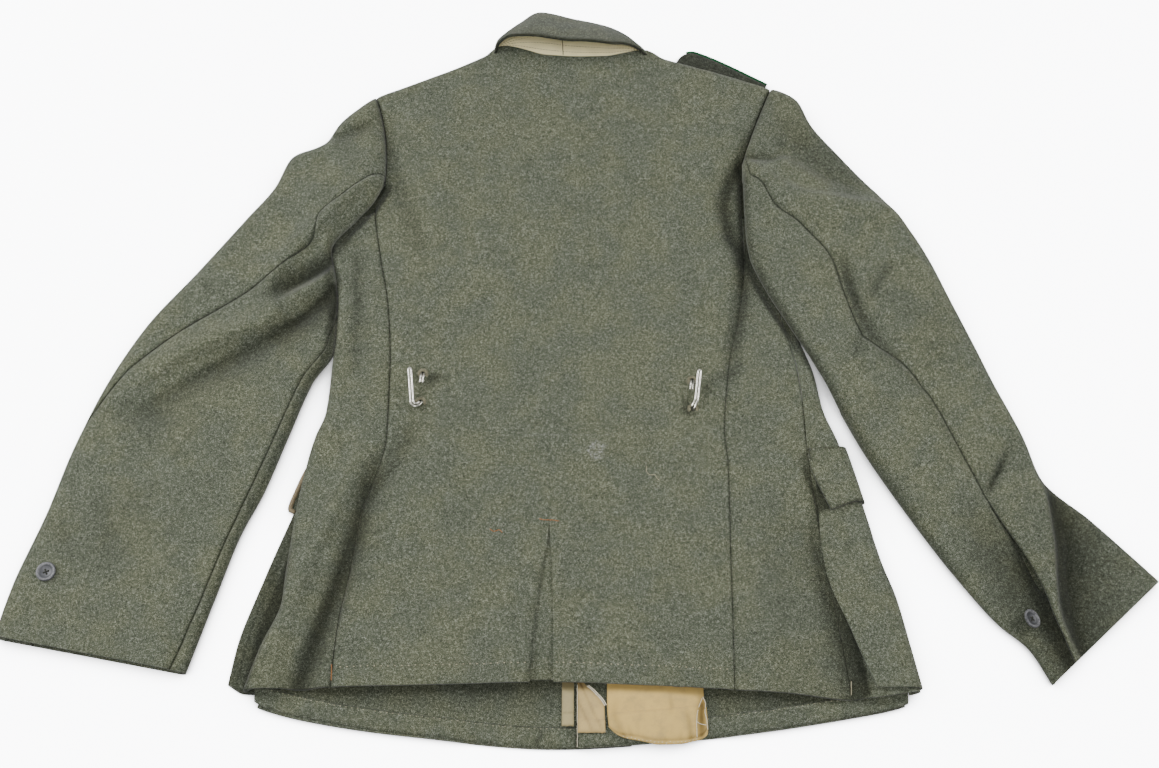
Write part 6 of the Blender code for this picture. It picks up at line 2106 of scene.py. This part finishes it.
        # The pouch's shade is painted, with a dark line along its edges.
        panel = Panel("inner_pouch_cloth", [Patch(columns, rows, point, shade=lambda a, b: self.pouch_shade(
            *point(a, b).xy), seamed=0.35, rimmed=0.4)], Cloth.POUCH, ("inner_pouch",), wall=1.4 / 0.55,
            rounding=0.4)
        edges = (((107.4, -353.5), (104.4, -361), (102.3, -369), (101.6, -379), (101.8, -388)),
                 ((108.2, -352.0), (110.4, -358.5), (109.4, -366), (110.8, -373), (111.2, -381)),
                 ((101.9, -375.0), (105, -376.8), (109.8, -377.5)))
        pieces = [panel.build()]
        for index, line in enumerate(edges):
            path = [self.pouch_at(x, y) + Vector((0, 0, 0.35)) for x, y in line]
            pieces.append(cord(f"pouch_edging_{index + 1}", rounded_path(path), 0.32, Cloth.WHITE))
        seam = [(self.pouch_at(x, self.pouch_bottom(x) + 2.0), UP) for x in spread(38.0, 104.0, 60)]
        return pieces + [stitches("pouch_seam_stitches", seam, Cloth.WHITE, 3.4, 1.6, 0.35, 0.05, 1.6)]

    def loose(self) -> list[Piece]:
        """Make the stray threads and the tacks at the side hems."""
        form = self.form
        lines = {
            "curled_thread": (Cloth.PALE, 0.25, ((62.7, -135.5), (62.2, -141), (66, -145), (70, -144.5),
                                                 (71.5, -148), (74, -150.5))),
            "vent_thread": (Cloth.RUST, 0.35, ((-82, -198.5), (-78, -201), (-73.5, -199.5), (-70.5, -202))),
            "hem_tack_left": (Cloth.RUST, 0.4, ((-217.6, -326), (-217.2, -333), (-217.0, -340))),
            "hem_tack_right": (Cloth.PALE, 0.4, ((238.2, -340), (237.8, -347), (237.4, -352)))}
        pieces = []
        for name, (finish, radius, line) in lines.items():
            path = [Vector((x, y, form.height(x, y) + 0.3)) for x, y in line]
            pieces.append(cord(name, rounded_path(path), radius, finish))
        return pieces

    def build(self) -> list[Piece]:
        """Make every piece."""
        return self.strap() + self.facings() + self.pouch() + self.loose()


# ---- buttons and hooks

@dataclass
class Button:
    """A dished button with a raised rim and four holes, sewn on with thread."""

    name: str
    spot: Pair
    sleeve: SleeveForm
    lift: float
    tilt: Vector | None = None
    extra: Sequence[Fold] = ()
    paint: Triple = (0.05, 0.052, 0.057)

    def build(self) -> list[Piece]:
        """Turn the button and sew it on.

        Returns:
            The pieces.
        """
        station, around = self.sleeve.find(*self.spot, self.extra)
        ground = self.sleeve.point(station, around, self.extra, False)
        up = self.sleeve.normal(station, around, self.extra)
        up = up if up.z > 0.0 else -up
        axis = self.tilt or up
        centre = Vector((*self.spot, ground.z + self.lift))
        matrix = Matrix.Translation(placed(centre)) @ axis.to_track_quat("Z", "Y").to_matrix().to_4x4()
        shape = bmesh.new()
        profile = ((2.2, 1.6), (5.2, 1.75), (5.9, 2.3), (6.6, 3.15), (7.3, 3.5), (8.1, 3.45), (8.7, 3.05),
                   (9.0, 2.3), (8.85, 1.4), (8.2, 0.6), (6.5, 0.15), (2.2, 0.0))
        verts = [shape.verts.new(Vector((radius, 0.0, height)) * METRE) for radius, height in profile]
        edges = [shape.edges.new(pair) for pair in zip(verts, verts[1:])]
        bmesh.ops.spin(shape, geom=verts + edges, cent=(0.0, 0.0, 0.0), axis=(0.0, 0.0, 1.0),
                       dvec=(0.0, 0.0, 0.0), angle=2.0 * math.pi, steps=48, use_merge=True)
        bmesh.ops.remove_doubles(shape, verts=shape.verts[:], dist=1e-6)
        self.web(shape)
        bmesh.ops.recalc_face_normals(shape, faces=shape.faces[:])
        shape.transform(matrix)
        paint = ButtonPaint(self.name + "_paint", tuple(centre), self.paint)
        pieces = [add_piece(self.name + "_disc", shape, paint, (self.name,), 40.0)]
        thread = bmesh.new()
        for turn in (0.25, 0.75):
            angle = turn * math.pi
            reach = Vector((math.cos(angle), math.sin(angle), 0.0)) * 1.7
            path = [reach + Vector((0, 0, 1.0)), reach * 0.8 + Vector((0, 0, 2.1)),
                    -reach * 0.8 + Vector((0, 0, 2.1)), -reach + Vector((0, 0, 1.0))]
            local = [MIDDLE + point for point in rounded_path(path, 4)]
            cord_mesh(thread, local, 0.42, 6)
            for sign in (-1.0, 1.0):
                hole = Matrix.Translation((reach * 1.25 * sign + Vector((0, 0, 1.7))) * METRE)
                bmesh.ops.create_icosphere(thread, subdivisions=2, radius=METRE,
                                           matrix=hole @ Matrix.Diagonal((0.95, 0.95, 0.3, 1.0)))
        bmesh.ops.recalc_face_normals(thread, faces=thread.faces[:])
        thread.transform(matrix)
        pieces.append(add_piece(self.name + "_thread", thread, Cloth.DUSK))
        return pieces

    def web(self, shape: Shape) -> None:
        """Close the middle of the button with a plate, on which dark spots stand for its holes.

        Args:
            shape: the button's mesh, open in its middle.
        """
        for height in (1.6, 0.0):
            ring = [vert for vert in shape.verts
                    if abs(vert.co.xy.length - 2.2 * METRE) < 1e-5 and abs(vert.co.z - height * METRE) < 1e-5]
            ring.sort(key=lambda vert: math.atan2(vert.co.y, vert.co.x))
            bmesh.ops.contextual_create(shape, geom=ring)


@dataclass
class BeltHook:
    """A doubled wire hook that comes out of one stitched eyelet, with its tail from another."""

    form: BodyForm
    side: str
    lower: Pair
    upper: Pair
    lean: float
    wire: float = 0.93

    def ground(self, spot: Pair) -> Vector:
        """Give the point of the back at a spot."""
        return Vector((*spot, self.form.height(*spot)))

    def build(self) -> list[Piece]:
        """Make the hook, its tail and both eyelets.

        Returns:
            The pieces.
        """
        low, high = self.ground(self.lower), self.ground(self.upper)
        bends = {False: ((0, 0, 0.2), (0, -1.2, 3.0), (-1.8, -3.9, 4.2), (-4.6, -5.1, 5.0), (-7.6, -2.6, 5.6),
                         (-10.8, 29.9, 8.5)),
                 True: ((-0.4, 0, 0.0), (0, 0.3, 2.4), (1.2, 3.0, 3.8), (2.9, 6.6, 4.6), (3.3, 8.6, 4.9),
                        (6.6, 34.8, 8.0))}[self.lean > 0.0]
        base = [low + Vector(bend) for bend in bends[:-1]]
        top = low + Vector(bends[-1])
        base += [base[-1].lerp(top, share) for share in (0.12, 0.5, 0.85, 1.0)]
        pieces = [self.doubled("belt_hook_wire_" + self.side, base, "belt_hook_" + self.side, True)]
        tail = [high + Vector((0, 0, 0.2)), high + Vector((0, -1.2, 3.0)),
                high + Vector((-0.4, -4.2, 4.0)), high + Vector((-1.1, -10.6, 3.6))]
        pieces.append(self.doubled("belt_hook_tip_" + self.side, tail, "belt_hook_tail_" + self.side, False))
        for label, spot in (("lower", self.lower), ("upper", self.upper)):
            pieces.append(self.eyelet(label, spot))
            # A dark flat dome in the eyelet: painted shade for its hole.
            hole = bmesh.new()
            centre = Matrix.Translation(placed(self.ground(spot))) @ Matrix.Diagonal((2.7, 2.7, 0.5, 1.0))
            bmesh.ops.create_icosphere(hole, subdivisions=3, radius=METRE, matrix=centre)
            pieces.append(add_piece(f"eyelet_hole_{label}_{self.side}", hole, Cloth.DUSK))
        return pieces

    def doubled(self, name: str, path: Sequence[Vector], node: str, looped: bool) -> Piece:
        """Bend one wire along a path and back, side by side.

        Args:
            name: the piece's name.
            path: the middle line of the pair.
            node: the solid that it stands for.
            looped: whether the far end is a round loop.

        Returns:
            The piece.
        """
        smooth = rounded_path(path, 7)
        offset = self.wire * 1.45
        first, second = [], []
        for index, point in enumerate(smooth):
            ahead = smooth[min(index + 1, len(smooth) - 1)] - smooth[max(index - 1, 0)]
            side = ahead.cross(UP)
            side = side.normalized() if side.length > 1e-3 else Vector((1, 0, 0))
            first.append(point + side * offset)
            second.append(point - side * offset)
        shape = bmesh.new()
        if looped:
            ahead = (smooth[-1] - smooth[-2]).normalized()
            side = ahead.cross(UP).normalized()
            bend = [smooth[-1] + side * offset * math.cos(a) + ahead * offset * 1.3 * math.sin(a)
                    for a in spread(0.0, math.pi, 8)[1:-1]]
            cord_mesh(shape, first + bend + list(reversed(second)), self.wire, 12)
        else:
            cord_mesh(shape, first, self.wire, 12)
            cord_mesh(shape, second, self.wire, 12)
        bmesh.ops.recalc_face_normals(shape, faces=shape.faces[:])
        return add_piece(name, shape, Cloth.NICKEL, (node,), 60.0)

    def eyelet(self, label: str, spot: Pair) -> Piece:
        """Make the worked edge of an eyelet from loops of thread."""
        ground, normal = self.ground(spot), self.form.normal(*spot)
        other = Vector((0, 1, 0)).cross(normal).cross(normal).normalized() * -1.0
        side = other.cross(normal)
        shape = bmesh.new()
        for step in range(17):
            angle = math.radians(-35.0 + 250.0 * step / 16)
            out = side * math.cos(angle) + other * math.sin(angle)
            path = [ground + out * 2.5 - normal * 0.3, ground + out * 2.9 + normal * 0.8,
                    ground + out * 4.3 + normal * 0.8, ground + out * 5.2 - normal * 0.25]
            cord_mesh(shape, path, 0.55, 5)
        bmesh.ops.recalc_face_normals(shape, faces=shape.faces[:])
        name = f"eyelet_{label}_{self.side}"
        return add_piece(name + "_rim", shape, Cloth.RIM, (name,), 60.0)


# ---- studio

@dataclass
class Studio:
    """The pale surface, the soft lamps and the camera."""

    target: Triple = (-0.0015, -0.036, 0.0)
    distance: float = 1.545
    elevation: float = 65.0
    lens: float = 50.0

    def floor(self) -> None:
        """Lay the white surface just under the garment."""
        shape = bmesh.new()
        bmesh.ops.create_grid(shape, x_segments=1, y_segments=1, size=4.0,
                              matrix=Matrix.Translation((0.0, 0.0, -0.0004)))
        mesh = bpy.data.meshes.new("white_surface")
        shape.to_mesh(mesh)
        shape.free()
        mesh.materials.append(material_of(Board()))
        surface = bpy.data.objects.new("white_surface", mesh)
        bpy.context.scene.collection.objects.link(surface)
        surface.visible_diffuse = False
        surface.visible_glossy = False

    def lamp(self, name: str, place: Triple, size: float, power: float,
             colour: Triple = (1.0, 1.0, 1.0)) -> None:
        """Add a soft square lamp that faces the garment."""
        data = bpy.data.lights.new(name, "AREA")
        data.shape = "SQUARE"
        data.size = size
        data.energy = power
        data.color = colour
        lamp = bpy.data.objects.new(name, data)
        lamp.location = place
        aim = Vector((0.0, 0.0, 0.0)) - Vector(place)
        lamp.rotation_euler = aim.to_track_quat("-Z", "Y").to_euler()
        bpy.context.scene.collection.objects.link(lamp)

    def camera(self) -> None:
        """Set the camera at the photograph's angle."""
        data = bpy.data.cameras.new("view")
        data.lens = self.lens
        data.sensor_width = 36.0
        camera = bpy.data.objects.new("view", data)
        angle = math.radians(self.elevation)
        away = Vector((0.0, -math.cos(angle), math.sin(angle)))
        camera.location = Vector(self.target) + away * self.distance
        camera.rotation_euler = (-away).to_track_quat("-Z", "Y").to_euler()
        bpy.context.scene.collection.objects.link(camera)
        bpy.context.scene.camera = camera

    def build(self) -> None:
        """Make the surface, the lamps, the sky and the camera."""
        self.floor()
        self.lamp("left_softbox", (-1.65, 0.45, 1.15), 0.8, 46.0)
        self.lamp("right_softbox", (1.65, 0.45, 1.15), 0.8, 34.0)
        self.lamp("front_softbox", (0.0, -1.1, 2.3), 1.2, 52.0)
        world = bpy.data.worlds.new("pale_room")
        world.use_nodes = True
        world.node_tree.nodes["Background"].inputs["Color"].default_value = (0.97, 0.98, 1.0, 1.0)
        world.node_tree.nodes["Background"].inputs["Strength"].default_value = 0.26
        bpy.context.scene.world = world
        self.camera()


@dataclass(frozen=True)
class Cut:
    """The flat size that a piece of cloth was cut to, as far as it shows."""

    piece: str
    width: float
    length: float
    area: float | None
    rests_on: tuple[str, ...]
    sewn: tuple[str, ...] = ()
    held: str = "laid"

    def declare(self) -> None:
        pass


FRONTS = ("front_panel_left", "front_panel_right")
CUTS = (
    Cut("back_panel", 0.42, 0.70, 0.232, FRONTS,
        ("dart_left", "dart_right", "vent_tack", "hem_stitches_left", "hem_stitches_right")),
    Cut("vent_underlap", 0.05, 0.165, 0.0067, FRONTS),
    Cut("side_panel_left", 0.125, 0.49, 0.0395, ("front_panel_left",), ("hem_tack_left",)),
    Cut("side_panel_right", 0.104, 0.485, 0.0335, ("front_panel_right",), ("hem_tack_right",)),
    Cut("front_panel_left", 0.33, 0.73, 0.187, ("pocket_left_cloth",), ("hem_catch_left",)),
    Cut("front_panel_right", 0.36, 0.73, 0.173, FRONTS[:1], ("hem_catch_right",)),
    Cut("hem_turn_left", 0.33, 0.019, None, FRONTS[:1], held="folded"),
    Cut("hem_turn_right", 0.29, 0.019, None, FRONTS[1:], held="folded"),
    Cut("armhole_turn_left", 0.02, 0.155, None, FRONTS[:1], held="folded"),
    Cut("armhole_turn_right", 0.02, 0.18, None, FRONTS[1:], held="folded"),
    Cut("top_sleeve_left", 0.26, 0.64, 0.118, ("side_panel_left",)),
    Cut("under_sleeve_left", 0.18, 0.60, 0.077, ("side_panel_left",)),
    Cut("top_sleeve_right", 0.28, 0.64, 0.133, ("front_panel_right",)),
    Cut("under_sleeve_right", 0.16, 0.60, 0.053, ("front_panel_right",)),
    Cut("collar_stand_cloth", 0.17, 0.033, 0.0043, ("back_panel",),
        ("stand_stitches_1", "stand_stitches_2", "stand_stitches_3", "stand_stitches_4", "stand_centre_seam"),
        "folded"),
    Cut("collar_fall_cloth", 0.17, 0.055, 0.0074, ("collar_stand_cloth",), (), "folded"),
    Cut("pocket_right_cloth", 0.155, 0.22, 0.0325, ("front_panel_right",)),
    Cut("pocket_flap_right_cloth", 0.115, 0.062, 0.0067, ("pocket_right_cloth",)),
    Cut("pocket_left_cloth", 0.166, 0.172, 0.025, ("front_panel_left",)),
    Cut("pocket_flap_left_cloth", 0.125, 0.05, 0.0059, ("pocket_left_cloth",), ("pocket_flap_left_binding",)),
    Cut("shoulder_strap_cloth", 0.05, 0.092, 0.0044, ("front_panel_right",), ("strap_piping_cord",)),
    Cut("facing_cloth_left", 0.0106, 0.128, None, ("hem_turn_left",)),
    Cut("facing_cloth_right", 0.024, 0.135, 0.0018, ("hem_turn_right",),
        ("facing_edge_roll_1", "facing_edge_roll_2", "facing_hanging_thread")),
    Cut("inner_pouch_cloth", 0.088, 0.103, 0.0088, ("hem_turn_right",),
        ("pouch_edging_1", "pouch_edging_2", "pouch_edging_3", "pouch_seam_stitches")))


def main() -> None:
    """Load the frame, dress it and report each piece."""
    logging.basicConfig(level=logging.INFO, format="%(name)s: %(message)s")
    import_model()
    tunic = Tunic()
    fronts = Fronts(tunic.body)
    studio = Studio()
    studio.build()
    groups = {
        "back": Back(tunic.body).build(),
        "sides": Sides(tunic.body).build(),
        "fronts": fronts.build(),
        "sleeves": SleevePair(tunic).build(),
        "collar": CollarSet().build(),
        "pockets": Pockets(tunic.body).build(),
        "trimmings": Trimmings(tunic.body, fronts).build(),
        "buttons": Button("cuff_button_left", (-480.0, -241.0), tunic.left, 0.35).build()
        + Button("cuff_button_right", (402.0, -284.0), tunic.right, 3.4,
                 Vector((math.sin(0.55), 0.15, math.cos(0.55))).normalized(), VENT_UNDER,
                 (0.028, 0.029, 0.032)).build(),
        "hooks": BeltHook(tunic.body, "left", (-150.4, -71.4), (-149.6, -41.2), -1.0).build()
        + BeltHook(tunic.body, "right", (107.4, -77.6), (107.4, -48.8), 1.0).build()}
    for cut in CUTS:
        cut.declare()
    for name, pieces in groups.items():
        LOG.info("%s: %s", name, ", ".join(piece.name for piece in pieces))


if __name__ == "__main__":
    main()
